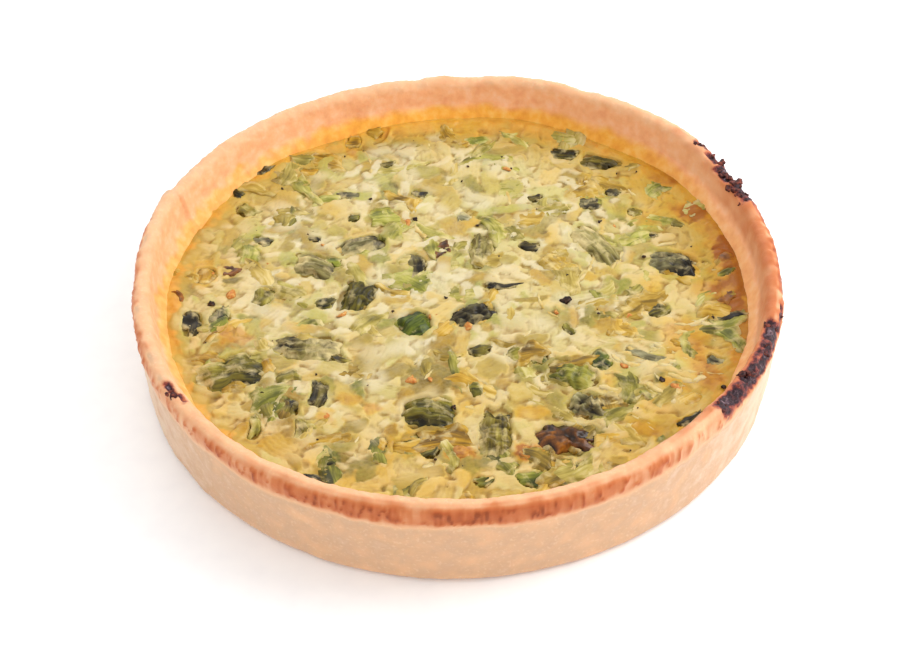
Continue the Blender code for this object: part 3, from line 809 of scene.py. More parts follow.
def lay_slices(bm):
    """Lifts the custard over the slices, and returns the amounts for each point."""
    verts = list(bm.verts)
    finder = KDTree(len(verts))
    for index, vert in enumerate(verts):
        finder.insert(vert.co, index)
    finder.balance()
    ground = [custard_level(vert.co.x, vert.co.y) for vert in verts]
    free = [open_pool(vert.co.x, vert.co.y) for vert in verts]
    bed = {"height": list(ground), "leek": [0.2] * len(verts), "tone": [0.3] * len(verts),
           "hue": [0.3] * len(verts), "cream": [0.0] * len(verts)}
    bedded = SLICES + STREAKS
    random.Random(17).shuffle(bedded)
    bedded = bedded + [shred(row, 0.35) for row in SUNK_SLICES]
    laid_on_top = [shred(row) for row in DARK_SHREDS + GOLDEN_SHREDS] + [leaf_bed(leaf) for leaf in LEAVES.values()]
    for number, piece in enumerate(bedded + laid_on_top):
        is_laid = number >= len(bedded)
        border, softness = (1.15, 0.16) if is_laid else (0.9, 0.18)
        reach = 0.66 * math.hypot(piece.length, piece.width) + abs(piece.bend) + 0.4
        ribs = math.tau * piece.width / 2.0 / 0.9
        for place, index, _ in finder.find_range((piece.x, piece.y, 0.0), reach):
            u, v = slice_reading(piece, place.x, place.y)
            here = Vector((place.x, place.y, number * 1.7))
            rough = 0.55 if is_laid else 1.0
            wobble = rough * (0.35 * noise.noise(here / 1.7) + 0.15 * noise.noise(here / 0.8))
            if is_laid:
                wobble += 0.3 * noise.noise(here / 3.4)
            outline = (abs(u) ** 3 + abs(v) ** 3) ** (1.0 / 3.0) + wobble
            inside = (1.0 - smoothstep(border - softness, border + softness, outline)) * free[index]
            if inside <= 0.0:
                continue
            if piece.tone == CREAM:
                cover = 0.75 * inside
                bed["cream"][index] = mix(bed["cream"][index], 1.0, cover)
                bed["height"][index] = max(bed["height"][index], ground[index] + piece.lift * inside)
                continue
            beside = smoothstep(0.85, 1.1, outline) if is_laid else 0.0
            bed["cream"][index] *= 1.0 - 0.9 * inside * (1.0 - 0.6 * beside)
            if is_laid:
                # The custard laps over the piece's edge as a soft bank, which its juice has tinted.
                bank = 0.5 * smoothstep(0.86, 1.05, outline) - 0.3
                kept = beside * (bed["height"][index] - ground[index])
                bed["height"][index] = mix(bed["height"][index], ground[index] + bank + kept, inside)
                tint = 0.5 * inside
                bed["leek"][index] = mix(bed["leek"][index], 0.75, tint)
                bed["tone"][index] = mix(bed["tone"][index], 0.42, tint)
                bed["hue"][index] = mix(bed["hue"][index], min(0.0, piece.hue) - 0.4, tint)
                continue
            crown = piece.lift * (1.0 - 0.35 * v * v) + piece.tilt * u + 0.03 * math.cos(ribs * v)
            lifted = max(bed["height"][index] - 0.2, ground[index] + crown)
            bed["height"][index] = mix(bed["height"][index], lifted, inside)
            bed["leek"][index] = mix(bed["leek"][index], 0.5 + 0.5 * piece.lift + 0.3 * piece.tone, inside)
            bed["tone"][index] = mix(bed["tone"][index], piece.tone, inside)
            bed["hue"][index] = mix(bed["hue"][index], piece.hue, inside)
    return bed


custard_bm = custard_disc()
custard_bed = lay_slices(custard_bm)
print("custard relief from", round(min(custard_bed["height"]), 2), "to", round(max(custard_bed["height"]), 2), "mm")

# %% [markdown]
# Over the slices comes the custard itself: pale ridges like melted strands, fine curds, and a browner,
# drier skin near the wall, most of all at the right where the rim is burnt as well. The hollows between
# the slices are drawn darker, which is painted shade. A point lies in a hollow when it is lower than the
# mean of the points round it, and on a grid that mean is two running sums.

# %% Hollows
def running_mean(values, reach):
    """The mean of each value and its neighbours up to reach places away."""
    sums = [0.0]
    for value in values:
        sums.append(sums[-1] + value)
    means = []
    for index in range(len(values)):
        start = max(0, index - reach)
        stop = min(len(values), index + reach + 1)
        means.append((sums[stop] - sums[start]) / (stop - start))
    return means


def smoothed(values, side, reach):
    """A square grid of values, averaged along its rows and then along its columns."""
    rows = [running_mean(values[start:start + side], reach) for start in range(0, side * side, side)]
    columns = [running_mean([row[column] for row in rows], reach) for column in range(side)]
    return [columns[column][row] for row in range(side) for column in range(side)]


# %% Ridges, curds and baked edge
STAINS = (
    (-41.0, -10.0, 9.0, 5.0, -20.0, 0.75), (-29.0, -7.5, 7.0, 3.4, -8.0, 0.45), (52.0, 10.5, 8.5, 5.0, 84.0, 1.15),
    (51.5, -5.0, 9.0, 4.0, 70.0, 1.1), (38.4, -26.0, 7.0, 3.0, -42.0, 0.7), (42.0, -13.5, 10.0, 5.4, 8.0, 0.6),
    (-0.5, -40.3, 6.0, 5.0, -10.0, 0.9), (11.5, -40.8, 5.6, 4.6, 0.0, 1.0), (-8.4, -38.2, 9.0, 6.0, 0.0, 0.55),
    (32.0, -36.0, 9.0, 4.0, -30.0, 0.6), (-20.0, -27.6, 5.6, 3.4, 0.0, 0.6), (-23.4, -31.6, 5.0, 4.0, 120.0, 0.55),
    (-15.4, -29.6, 3.6, 3.8, 0.0, 0.7), (-48.4, 7.6, 10.0, 4.6, 96.0, 0.6), (-21.0, 47.0, 7.0, 4.0, 88.0, 0.7),
    (-15.0, 51.0, 6.0, 4.4, 90.0, 0.8), (38.0, 31.0, 14.0, 9.0, 100.0, 0.4), (47.0, 21.0, 8.0, 6.0, 80.0, 0.6),
    (1.0, 52.0, 10.0, 5.0, 0.0, 0.55), (12.6, -31.4, 7.0, 4.0, 0.0, 0.5), (27.0, -24.0, 5.0, 3.0, 90.0, 0.5),
)


def stained(x, y):
    """How far a browned or golden patch of the skin reaches a place."""
    most = 0.0
    for stain_x, stain_y, length, width, turn, strength in STAINS:
        if math.hypot(x - stain_x, y - stain_y) > length:
            continue
        patch = Slice(stain_x, stain_y, length, width, turn, 0.0, 0.0, 0.0, 0.0, 0.0)
        u, v = slice_reading(patch, x, y)
        ragged = 0.5 * noise.noise(Vector((x, y, 2.0)) / 2.2) + 0.25 * noise.noise(Vector((x, y, 6.0)) / 0.9)
        most = max(most, strength * (1.0 - smoothstep(0.6, 1.3, math.hypot(u, v) + ragged)))
    return most


def baked_here(x, y):
    """How far the custard is baked, from 0 to 1."""
    radius = math.hypot(x, y)
    angle = math.atan2(y, x)
    right = smoothstep(45.0, 15.0, abs(degrees_past(angle, 2.0)))
    ragged = 3.0 * noise.noise(Vector((x, y, 1.0)) / 3.0) + 1.5 * noise.noise(Vector((x, y, 4.0)) / 1.2)
    rim = smoothstep(POOL_RADIUS - 8.0, POOL_RADIUS + 1.0, radius + ragged)
    rightwards = smoothstep(22.0, 42.0, x)
    patch = smoothstep(0.1 - 0.25 * rightwards, 0.45, noise.noise(Vector((x, y, 9.0)) / 6.5))
    edgewise = smoothstep(15.0, 45.0, radius)
    drier = mix(0.05, 0.25, edgewise) + 0.4 * rightwards
    return max(min(1.0, 0.85 * rim * right + drier * patch), stained(x, y))


def golden_rim(x, y):
    """How far the custard has the gold of the wall, widest at the back and the right."""
    angle = math.atan2(y, x)
    wide = smoothstep(75.0, 35.0, abs(degrees_past(angle, 45.0)))
    back = smoothstep(100.0, 60.0, abs(degrees_past(angle, 85.0)))
    ragged = 3.0 * noise.noise(Vector((x, y, 1.0)) / 3.4) + 1.5 * noise.noise(Vector((x, y, 4.0)) / 1.4)
    reach = 3.0 + 3.0 * back + 8.0 * wide
    return smoothstep(POOL_RADIUS - reach, POOL_RADIUS + 1.0, math.hypot(x, y) + ragged)


def golden_egg(x, y):
    """How golden the egg is: pale cream in the middle, richer towards the front and the sides."""
    front = smoothstep(0.0, -42.0, y)
    side = smoothstep(26.0, 50.0, abs(x))
    edge = smoothstep(40.0, 54.0, math.hypot(x, y))
    drift = noise.noise(Vector((x, y, 15.0)) / 10.0)
    right = smoothstep(24.0, 44.0, x)
    return min(1.0, max(0.0, 0.6 * front + 0.35 * side + 0.4 * right + 0.5 * edge + 0.6 * drift))


def follow_wall(point):
    """Moves a point near the wall along with the wall's own waves."""
    radius = math.hypot(point.x, point.y)
    angle = math.atan2(point.y, point.x)
    near = smoothstep(44.0, 53.0, radius)
    swell = near * wall_swell(angle) * smoothstep(2.0, SHELL_HEIGHT, point.z) / max(radius, 1.0)
    rise = near * rim_rise(angle) * smoothstep(CUSTARD_LEVEL, SHELL_HEIGHT, point.z)
    return Vector((point.x * (1.0 + swell), point.y * (1.0 + swell), point.z + rise))


def finish_custard(bm, bed):
    names = ("leek", "tone", "hue", "cream", "gold", "rim", "hollow", "baked")
    layers = {name: bm.verts.layers.float.new(name) for name in names}
    top_verts = list(bm.verts)
    for index, vert in enumerate(top_verts):
        here = vert.co.copy()
        veil = smoothstep(0.0, 0.45, noise.noise(here / 6.0 + Vector((11.0, 4.0, 2.0))))
        cream = max(bed["cream"][index], 0.65 * veil) * open_pool(here.x, here.y)
        bed["height"][index] += 0.07 * noise.noise(here / 1.3) + 0.04 * noise.noise(here / 0.6)
        vert[layers["leek"]] = bed["leek"][index] * (1.0 - 0.75 * cream)
        vert[layers["tone"]] = bed["tone"][index]
        vert[layers["hue"]] = bed["hue"][index]
        vert[layers["cream"]] = cream
        vert[layers["gold"]] = golden_egg(here.x, here.y)
        vert[layers["rim"]] = golden_rim(here.x, here.y)
        vert[layers["baked"]] = baked_here(here.x, here.y)
    means = smoothed(bed["height"], CUSTARD_SEGMENTS + 1, 3)
    for index, vert in enumerate(top_verts):
        radius = math.hypot(vert.co.x, vert.co.y)
        vert[layers["hollow"]] = (means[index] - bed["height"][index]) * smoothstep(53.0, 50.0, radius)
        vert.co.z = bed["height"][index]
        vert.co = follow_wall(vert.co)
    rim_edges = [edge for edge in bm.edges if edge.is_boundary]
    skirt = bmesh.ops.extrude_edge_only(bm, edges=rim_edges)["geom"]
    for vert in [item for item in skirt if isinstance(item, bmesh.types.BMVert)]:
        inwards = (FLOOR_RADIUS - 0.4) / math.hypot(vert.co.x, vert.co.y)
        vert.co = (vert.co.x * inwards, vert.co.y * inwards, FLOOR_THICKNESS + 0.5)
    bmesh.ops.holes_fill(bm, edges=[edge for edge in bm.edges if edge.is_boundary], sides=0)


finish_custard(custard_bm, custard_bed)

# %% [markdown]
# ## Set custard and leek under its skin
#
# Custard is an emulsion of egg and cream: light goes some millimetres deep and comes out warm and soft,
# and the skin stays moist, so highlights are small and a little blurred. The leek under it is only a
# tint that the custard veils, so one material mixes both by the amounts on the points.

# %% Colours of stewed leek
STEM_TONES = ((0.0, "C4B27A"), (0.25, "AC984E"), (0.5, "8D7A34"), (0.75, "675922"), (1.0, "403614"))
GREEN_TONES = ((0.0, "BDB674"), (0.25, "A5A04A"), (0.5, "7E7E2E"), (0.75, "575A1E"), (1.0, "363814"))
MUSTARD_TONES = ((0.0, "CDAE62"), (0.25, "BC9638"), (0.5, "A27A20"), (0.75, "785818"), (1.0, "4C3612"))


def hued(tree, level, hue, cold_stops, middle_stops, warm_stops):
    """The colour at a tone, between a cold, a middle and a warm row of tones."""
    ramps = [add_node(tree, "ShaderNodeValToRGB", {"Fac": level}, stops=stops).outputs["Color"]
             for stops in (cold_stops, middle_stops, warm_stops)]
    cold = add_node(tree, "ShaderNodeMapRange", {"Value": hue, "From Min": 0.0, "From Max": -1.0})
    warm = add_node(tree, "ShaderNodeMapRange", {"Value": hue, "From Min": 0.0, "From Max": 1.0})
    cooled = add_node(tree, "ShaderNodeMix", {MIX_FACTOR: cold.outputs["Result"], MIX_A: ramps[1], MIX_B: ramps[0]},
                      data_type="RGBA")
    warmed = add_node(tree, "ShaderNodeMix", {MIX_FACTOR: warm.outputs["Result"], MIX_A: cooled.outputs[MIX_RESULT],
                                              MIX_B: ramps[2]}, data_type="RGBA")
    return warmed.outputs[MIX_RESULT]


# %% Custard material
def custard_material():
    material, tree = new_material("set_egg_custard")
    place = add_node(tree, "ShaderNodeTexCoord").outputs["Object"]
    amounts = {}
    for name in ("leek", "tone", "hue", "cream", "gold", "rim", "hollow", "baked"):
        amounts[name] = add_node(tree, "ShaderNodeAttribute", attribute_name=name).outputs["Fac"]
    # Curds about 2 mm across, and finer flecks of leek juice and fat.
    curds = add_node(tree, "ShaderNodeTexNoise", {"Vector": place, "Scale": 420.0, "Detail": 4.0, "Roughness": 0.6})
    flecks = add_node(tree, "ShaderNodeTexNoise", {"Vector": place, "Scale": 1500.0, "Detail": 2.0})
    egg = add_node(tree, "ShaderNodeValToRGB", {"Fac": curds.outputs["Fac"]},
                   stops=((0.3, "A89652"), (0.5, "B8A974"), (0.7, "C4B68C")))
    yolk = add_node(tree, "ShaderNodeValToRGB", {"Fac": curds.outputs["Fac"]},
                    stops=((0.3, "A6802E"), (0.5, "B99446"), (0.7, "C4A862")))
    golden_part = add_node(tree, "ShaderNodeMix", {MIX_FACTOR: amounts["gold"], MIX_A: egg.outputs["Color"],
                                                   MIX_B: yolk.outputs["Color"]}, data_type="RGBA")
    shift = add_node(tree, "ShaderNodeMath", {0: curds.outputs["Fac"], 1: 0.8, 2: -0.4}, operation="MULTIPLY_ADD")
    toned = add_node(tree, "ShaderNodeMath", {0: amounts["tone"], 1: shift.outputs[0]}, operation="ADD")
    leek = hued(tree, toned.outputs[0], amounts["hue"], GREEN_TONES, STEM_TONES, MUSTARD_TONES)
    showing = add_node(tree, "ShaderNodeMath", {0: flecks.outputs["Fac"], 1: 0.6, 2: 0.7}, operation="MULTIPLY_ADD")
    amount = add_node(tree, "ShaderNodeMath", {0: amounts["leek"], 1: showing.outputs[0]}, operation="MULTIPLY",
                      use_clamp=True)
    veiled = add_node(tree, "ShaderNodeMix", {MIX_FACTOR: amount.outputs[0], MIX_A: golden_part.outputs[MIX_RESULT],
                                              MIX_B: leek}, data_type="RGBA")
    cream = add_node(tree, "ShaderNodeMix", {MIX_FACTOR: amounts["gold"], MIX_A: "D3C7A8", MIX_B: "CFB67C"},
                     data_type="RGBA")
    creamy = add_node(tree, "ShaderNodeMath", {0: amounts["cream"], 1: 0.7}, operation="MULTIPLY")
    pale = add_node(tree, "ShaderNodeMix", {MIX_FACTOR: creamy.outputs[0], MIX_A: veiled.outputs[MIX_RESULT],
                                            MIX_B: cream.outputs[MIX_RESULT]}, data_type="RGBA")
    # Against the wall it is baked to nearly the wall's own gold, through an olive gold further in.
    gilt = add_node(tree, "ShaderNodeTexNoise", {"Vector": place, "Scale": 480.0, "Detail": 3.0})
    wall_gold = add_node(tree, "ShaderNodeValToRGB", {"Fac": gilt.outputs["Fac"]},
                         stops=((0.3, "BE842A"), (0.5, "CE9436"), (0.7, "D0A048")))
    nearer = add_node(tree, "ShaderNodeMapRange", {"Value": amounts["rim"], "From Min": 0.65, "From Max": 1.0})
    band = add_node(tree, "ShaderNodeMix", {MIX_FACTOR: nearer.outputs["Result"], MIX_A: "AC8C3C",
                                            MIX_B: wall_gold.outputs["Color"]}, data_type="RGBA")
    gilding = add_node(tree, "ShaderNodeMapRange", {"Value": amounts["rim"], "From Min": 0.0, "From Max": 0.7,
                                                    "To Max": 0.9})
    gilded = add_node(tree, "ShaderNodeMix", {MIX_FACTOR: gilding.outputs["Result"], MIX_A: pale.outputs[MIX_RESULT],
                                              MIX_B: band.outputs[MIX_RESULT]}, data_type="RGBA")
    # Baked custard goes from gold to a red brown where it is driest.
    crisp = add_node(tree, "ShaderNodeMath", {0: amounts["baked"], 1: shift.outputs[0]}, operation="ADD")
    crust = add_node(tree, "ShaderNodeValToRGB", {"Fac": crisp.outputs[0]},
                     stops=((0.1, "CEAE4C"), (0.45, "C69A28"), (0.75, "BA7E1E"), (1.0, "965212")))
    browning = add_node(tree, "ShaderNodeMath", {0: amounts["baked"], 1: 0.85}, operation="MULTIPLY", use_clamp=True)
    baked = add_node(tree, "ShaderNodeMix", {MIX_FACTOR: browning.outputs[0], MIX_A: gilded.outputs[MIX_RESULT],
                                             MIX_B: crust.outputs["Color"]}, data_type="RGBA")
    # Painted shade in the hollows; 0.2 mm below the mean is the full shade.
    painted_hollow_shade = add_node(tree, "ShaderNodeMapRange", {"Value": amounts["hollow"], "From Min": 0.0, "From Max": 0.2,
                                                  "To Max": 0.75})
    colour = add_node(tree, "ShaderNodeMix", {MIX_FACTOR: painted_hollow_shade.outputs["Result"], MIX_A: baked.outputs[MIX_RESULT],
                                              MIX_B: "AA8C3E"}, data_type="RGBA", blend_type="MULTIPLY")
    pores = add_node(tree, "ShaderNodeTexNoise", {"Vector": place, "Scale": 1900.0, "Detail": 3.0, "Roughness": 0.6})
    bump = add_node(tree, "ShaderNodeBump", {"Strength": 0.4, "Distance": 0.00015, "Height": pores.outputs["Fac"]})
    shader = add_node(tree, "ShaderNodeBsdfPrincipled", {
        "Base Color": colour.outputs[MIX_RESULT], "Roughness": 0.42, "IOR": 1.38, "Normal": bump.outputs["Normal"],
        "Specular IOR Level": 0.2, "Coat Weight": 0.12, "Coat Roughness": 0.15,
        "Subsurface Weight": 0.3, "Subsurface Radius": (1.0, 0.7, 0.35), "Subsurface Scale": 0.001})
    add_node(tree, "ShaderNodeOutputMaterial", {"Surface": shader.outputs["BSDF"]})
    return material


CUSTARD = custard_material()
finish_piece("custard_set", custard_bm, CUSTARD, ["filling"])

# %% [markdown]
# ## Loose slices of leek
#
# Hundreds of slices lie in the custard's skin. Each is a thin slab of a few dozen faces: a small grid,
# rounded and bent to the slice's outline, lowered at its edges so that the custard closes over them, and
# given its thickness with solidify. All slices of one kind are one mesh. Every point keeps its place on
# the slice, along the fibres and across them, so that the material can draw fibres that follow the bend.

# %% Lay slabs of leek
SLAB_THICKNESS = 0.6


def torn(u, v, number, roughness):
    """How far the edge is torn in or out in the direction of a point, as a factor on u and v."""
    out = max(abs(u), abs(v))
    turn = math.atan2(v, u)
    around = Vector((math.cos(turn), math.sin(turn), number * 5.3))
    return 1.0 + roughness * out * (noise.noise(around * 1.3) + 0.5 * noise.noise(around * 3.7))


def slab_mesh():
    bm = bmesh.new()
    layers = {name: bm.verts.layers.float.new(name) for name in ("tone", "hue", "veil")}
    layers["fibre"] = bm.verts.layers.float_vector.new("fibre")
    return bm, layers


def lay_slab(bm, layers, piece, columns, rows, rise, number, curl=0.0):
    """One slice, as a sheet that follows the custard's level; solidify comes when all are laid."""
    grid = bmesh.ops.create_grid(bm, x_segments=columns, y_segments=rows, size=1.0)
    for vert in grid["verts"]:
        u, v = vert.co.x, vert.co.y
        scale = torn(u, v, number, 0.7)
        x, y = slice_place(piece, u * scale, v * scale)
        outline = (u ** 4 + v ** 4) ** 0.25
        wave = 0.3 * noise.noise(Vector((x, y, number * 0.37)) / 1.8) + 0.1 * noise.noise(Vector((x, y, number)) / 0.7)
        sink = 0.4 * smoothstep(0.7, 1.1, outline)
        edge = smoothstep(0.5, 1.0, outline) * (0.5 + noise.noise(Vector((x, y, number * 0.9)) / 1.2))
        patch = noise.noise(Vector((x, y, number * 0.5)) / 2.4)
        height = pool_level(x, y) + rise + piece.tilt * u + curl * v * v + wave - sink
        vert.co = (x, y, height)
        vert[layers["tone"]] = piece.tone - 0.35 * edge + 0.4 * patch
        vert[layers["hue"]] = piece.hue
        vert[layers["veil"]] = 0.1 + 0.5 * noise.noise(Vector((x, y, number * 0.7)) / 1.6) + 0.5 * edge
        vert[layers["fibre"]] = (u * piece.length / 2.0, v * piece.width / 2.0, number * 3.1)


def thicken(bm, thickness):
    bmesh.ops.solidify(bm, geom=bm.faces[:], thickness=thickness)


# %% [markdown]
# Cooked leek is soft plant tissue full of water: it lets light through, shows its fibres as fine lines
# along the leaf, and shines wet. Pale stem is cream to yellow green, and outer leaf turns a dull, deep
# green, nearly black where it dried in the oven, with a bluish grey bloom of leaf wax.

# %% Leek material
def leek_material(name, cold_stops, middle_stops, warm_stops, coat, fibre_depth):
    material, tree = new_material(name)
    place = add_node(tree, "ShaderNodeTexCoord").outputs["Object"]
    tone = add_node(tree, "ShaderNodeAttribute", attribute_name="tone").outputs["Fac"]
    hue = add_node(tree, "ShaderNodeAttribute", attribute_name="hue").outputs["Fac"]
    veil = add_node(tree, "ShaderNodeAttribute", attribute_name="veil").outputs["Fac"]
    fibre = add_node(tree, "ShaderNodeAttribute", attribute_name="fibre").outputs["Vector"]
    # Fibres lie about 0.5 mm apart and run on for several millimetres, in broader bands of 1.5 mm.
    run = add_node(tree, "ShaderNodeMapping", {"Vector": fibre, "Scale": (0.25, 2.0, 1.0)})
    lines = add_node(tree, "ShaderNodeTexNoise", {"Vector": run.outputs["Vector"], "Scale": 1.0, "Detail": 3.0,
                                                  "Distortion": 0.4})
    bands = add_node(tree, "ShaderNodeMapping", {"Vector": fibre, "Scale": (0.2, 0.7, 1.0)})
    broad = add_node(tree, "ShaderNodeTexNoise", {"Vector": bands.outputs["Vector"], "Scale": 1.0, "Detail": 2.0})
    spread = add_node(tree, "ShaderNodeMath", {0: lines.outputs["Fac"], 1: 0.9, 2: -0.45}, operation="MULTIPLY_ADD")
    banded = add_node(tree, "ShaderNodeMath", {0: broad.outputs["Fac"], 1: 0.7, 2: -0.35}, operation="MULTIPLY_ADD")
    both = add_node(tree, "ShaderNodeMath", {0: spread.outputs[0], 1: banded.outputs[0]}, operation="ADD")
    level = add_node(tree, "ShaderNodeMath", {0: tone, 1: both.outputs[0]}, operation="ADD")
    flesh = hued(tree, level.outputs[0], hue, cold_stops, middle_stops, warm_stops)
    # Custard clings in smears: the thicker the veil, the more of the smears' pattern is covered.
    smear = add_node(tree, "ShaderNodeTexNoise", {"Vector": place, "Scale": 480.0, "Detail": 4.0, "Roughness": 0.6,
                                                  "Distortion": 0.6})
    cling = add_node(tree, "ShaderNodeMath", {0: veil, 1: 0.55, 2: smear.outputs["Fac"]}, operation="MULTIPLY_ADD")
    cover = add_node(tree, "ShaderNodeMapRange", {"Value": cling.outputs[0], "From Min": 0.6, "From Max": 0.95,
                                                  "To Max": 0.9})
    colour = add_node(tree, "ShaderNodeMix", {MIX_FACTOR: cover.outputs["Result"], MIX_A: flesh, MIX_B: "D0BD86"},
                      data_type="RGBA")
    bump = add_node(tree, "ShaderNodeBump", {"Strength": fibre_depth, "Distance": 0.0002,
                                             "Height": lines.outputs["Fac"]})
    shader = add_node(tree, "ShaderNodeBsdfPrincipled", {
        "Base Color": colour.outputs[MIX_RESULT], "Roughness": 0.4, "IOR": 1.38, "Normal": bump.outputs["Normal"],
        "Specular IOR Level": 0.2, "Coat Weight": coat, "Coat Roughness": 0.15,
        "Subsurface Weight": 0.08, "Subsurface Radius": (0.8, 1.0, 0.6), "Subsurface Scale": 0.0003})
    add_node(tree, "ShaderNodeOutputMaterial", {"Surface": shader.outputs["BSDF"]})
    return material


PALE_LEEK = leek_material("stewed_leek_stem", GREEN_TONES, STEM_TONES, MUSTARD_TONES, coat=0.12, fibre_depth=0.4)
WAXY_TONES = ((0.0, "AEA68A"), (0.3, "8A8460"), (0.55, "625C3E"), (0.8, "3C3522"), (1.0, "18130A"))
OLIVE_TONES = ((0.0, "B3A25A"), (0.3, "8C7E30"), (0.55, "685A1C"), (0.8, "433812"), (1.0, "1E1808"))
FRESH_TONES = ((0.0, "A8A44C"), (0.3, "7C8228"), (0.55, "59641A"), (0.8, "384410"), (1.0, "19200A"))
DARK_LEEK = leek_material("wilted_leek_leaf", WAXY_TONES, OLIVE_TONES, FRESH_TONES, coat=0.12, fibre_depth=0.7)

# %% Pale slices in the skin
slab_draw = random.Random(23)
pale_bm, pale_layers = slab_mesh()
laid = [piece for piece in SLICES if piece.tone > 0.3 and slab_draw.random() < 0.5] + [shred(row) for row in GOLDEN_SHREDS]
for number, piece in enumerate(laid):
    rise = slab_draw.uniform(0.2, 0.5)
    lay_slab(pale_bm, pale_layers, piece, 8, 3, rise, number, slab_draw.uniform(-0.3, 0.3))
thicken(pale_bm, SLAB_THICKNESS)
finish_piece("leek_slices_pale", pale_bm, PALE_LEEK)
print(len(laid), "pale slices laid")

# %% Dark shreds
shred_bm, shred_layers = slab_mesh()
for number, row in enumerate(DARK_SHREDS):
    lay_slab(shred_bm, shred_layers, shred(row), 12, 8, 0.4, 500 + number)
thicken(shred_bm, SLAB_THICKNESS)
finish_piece("leek_shreds_dark", shred_bm, DARK_LEEK)

# %% [markdown]
# The large leaves are the same kind of sheet on a finer grid, so that ribs and crinkles are real relief.
# Ribs below 0 run across the piece instead of along it, as where a stem was cut on the slant.

# %% Lay one leaf
LEAF_COLUMNS = 30
LEAF_ROWS = 20
LEAF_THICKNESS = 0.9


def leaf_relief(leaf, u, v, number):
    """How far a point of a leaf stands over its middle plane, in millimetres."""
    along, across = u * leaf.length / 2.0, v * leaf.width / 2.0
    here = Vector((along, across, number * 4.1))
    drift = 1.2 * noise.noise(here / 3.0)
    line = along / 1.6 if leaf.ribs < 0.0 else across / 1.0
    ribs = abs(leaf.ribs) * math.cos(math.tau * (line + 0.9 * drift))
    folds = leaf.crinkle * (1.0 - 4.0 * abs(noise.noise(here / 1.9)))
    return ribs + folds + 0.25 * drift


def lay_leaf(bm, layers, leaf, number):
    lean = math.radians(leaf.toward)
    grid = bmesh.ops.create_grid(bm, x_segments=LEAF_COLUMNS, y_segments=LEAF_ROWS, size=1.0)
    for vert in grid["verts"]:
        u, v = vert.co.x, vert.co.y
        scale = torn(u, v, number, 0.55)
        x, y = slice_place(leaf_bed(leaf), u * scale, v * scale)
        outline = min(1.0, (u ** 4 + v ** 4) ** 0.25)
        toward = max(-1.0, min(1.0, u * math.cos(lean) + v * math.sin(lean)))
        patch = noise.noise(Vector((u * leaf.length / 6.0, v * leaf.width / 3.0, number * 2.3)))
        crown = 0.5 * leaf.arch * (1.0 - outline ** 2)
        sink = 0.9 * smoothstep(0.5, 1.0, outline)
        relief = leaf_relief(leaf, u, v, number)
        height = pool_level(x, y) + 0.7 + crown + relief * (1.0 - outline ** 6) - sink
        vert.co = (x, y, height)
        # Tone follows the relief: ribs and crests are drawn paler, grooves and folds darker, as painted light and
        # shade.
        vert[layers["tone"]] = leaf.tone - leaf.fade * (0.5 - 0.5 * toward) + 0.12 * patch - 0.5 * relief
        vert[layers["hue"]] = leaf.hue
        edge = smoothstep(0.7, 1.0, outline) * (0.4 + noise.noise(Vector((x, y, number * 0.9)) / 1.5))
        veil = leaf.veil * (0.6 - 0.5 * toward) + 0.6 * patch + 0.6 * edge
        vert[layers["veil"]] = max(0.0, veil)
        vert[layers["fibre"]] = (u * leaf.length / 2.0, v * leaf.width / 2.0, number * 3.1)


# %% [markdown]
# One of the sixteen lay bare in the oven and browned like a fried onion: amber where it stayed moist, glossy
# all over, and darker at its folds as painted shade. The small browned bits are cut from the same material.

# %% Browned leek material
def browned_material():
    material, tree = new_material("caramelised_leek")
    place = add_node(tree, "ShaderNodeTexCoord").outputs["Object"]
    tone = add_node(tree, "ShaderNodeAttribute", attribute_name="tone").outputs["Fac"]
    # Sugar gathers in blotches about 1.5 mm across.
    blotch = add_node(tree, "ShaderNodeTexNoise", {"Vector": place, "Scale": 620.0, "Detail": 4.0, "Roughness": 0.6})
    level = add_node(tree, "ShaderNodeMath", {0: blotch.outputs["Fac"], 1: 1.1, 2: -0.55}, operation="MULTIPLY_ADD")
    toned = add_node(tree, "ShaderNodeMath", {0: tone, 1: level.outputs[0]}, operation="ADD")
    colour = add_node(tree, "ShaderNodeValToRGB", {"Fac": toned.outputs[0]},
                      stops=((0.0, "C4983E"), (0.25, "B07A2A"), (0.5, "8A5418"), (0.75, "583210"), (1.0, "281608")))
    bump = add_node(tree, "ShaderNodeBump", {"Strength": 0.5, "Distance": 0.0002, "Height": blotch.outputs["Fac"]})
    shader = add_node(tree, "ShaderNodeBsdfPrincipled", {
        "Base Color": colour.outputs["Color"], "Roughness": 0.35, "IOR": 1.4, "Normal": bump.outputs["Normal"],
        "Specular IOR Level": 0.2, "Coat Weight": 0.25, "Coat Roughness": 0.15,
        "Subsurface Weight": 0.15, "Subsurface Radius": (1.0, 0.7, 0.4), "Subsurface Scale": 0.0006})
    add_node(tree, "ShaderNodeOutputMaterial", {"Surface": shader.outputs["BSDF"]})
    return material


BROWNED_LEEK = browned_material()

# %% Lay the sixteen leaves
for number, (name, leaf) in enumerate(LEAVES.items()):
    leaf_bm, leaf_layers = slab_mesh()
    lay_leaf(leaf_bm, leaf_layers, leaf, 700 + number)
    thicken(leaf_bm, LEAF_THICKNESS)
    if name == "leek_leaf_browned":
        finish_piece(name + "_cooked", leaf_bm, BROWNED_LEEK, [name])
    else:
        finish_piece(name + "_cooked", leaf_bm, DARK_LEEK, [name])

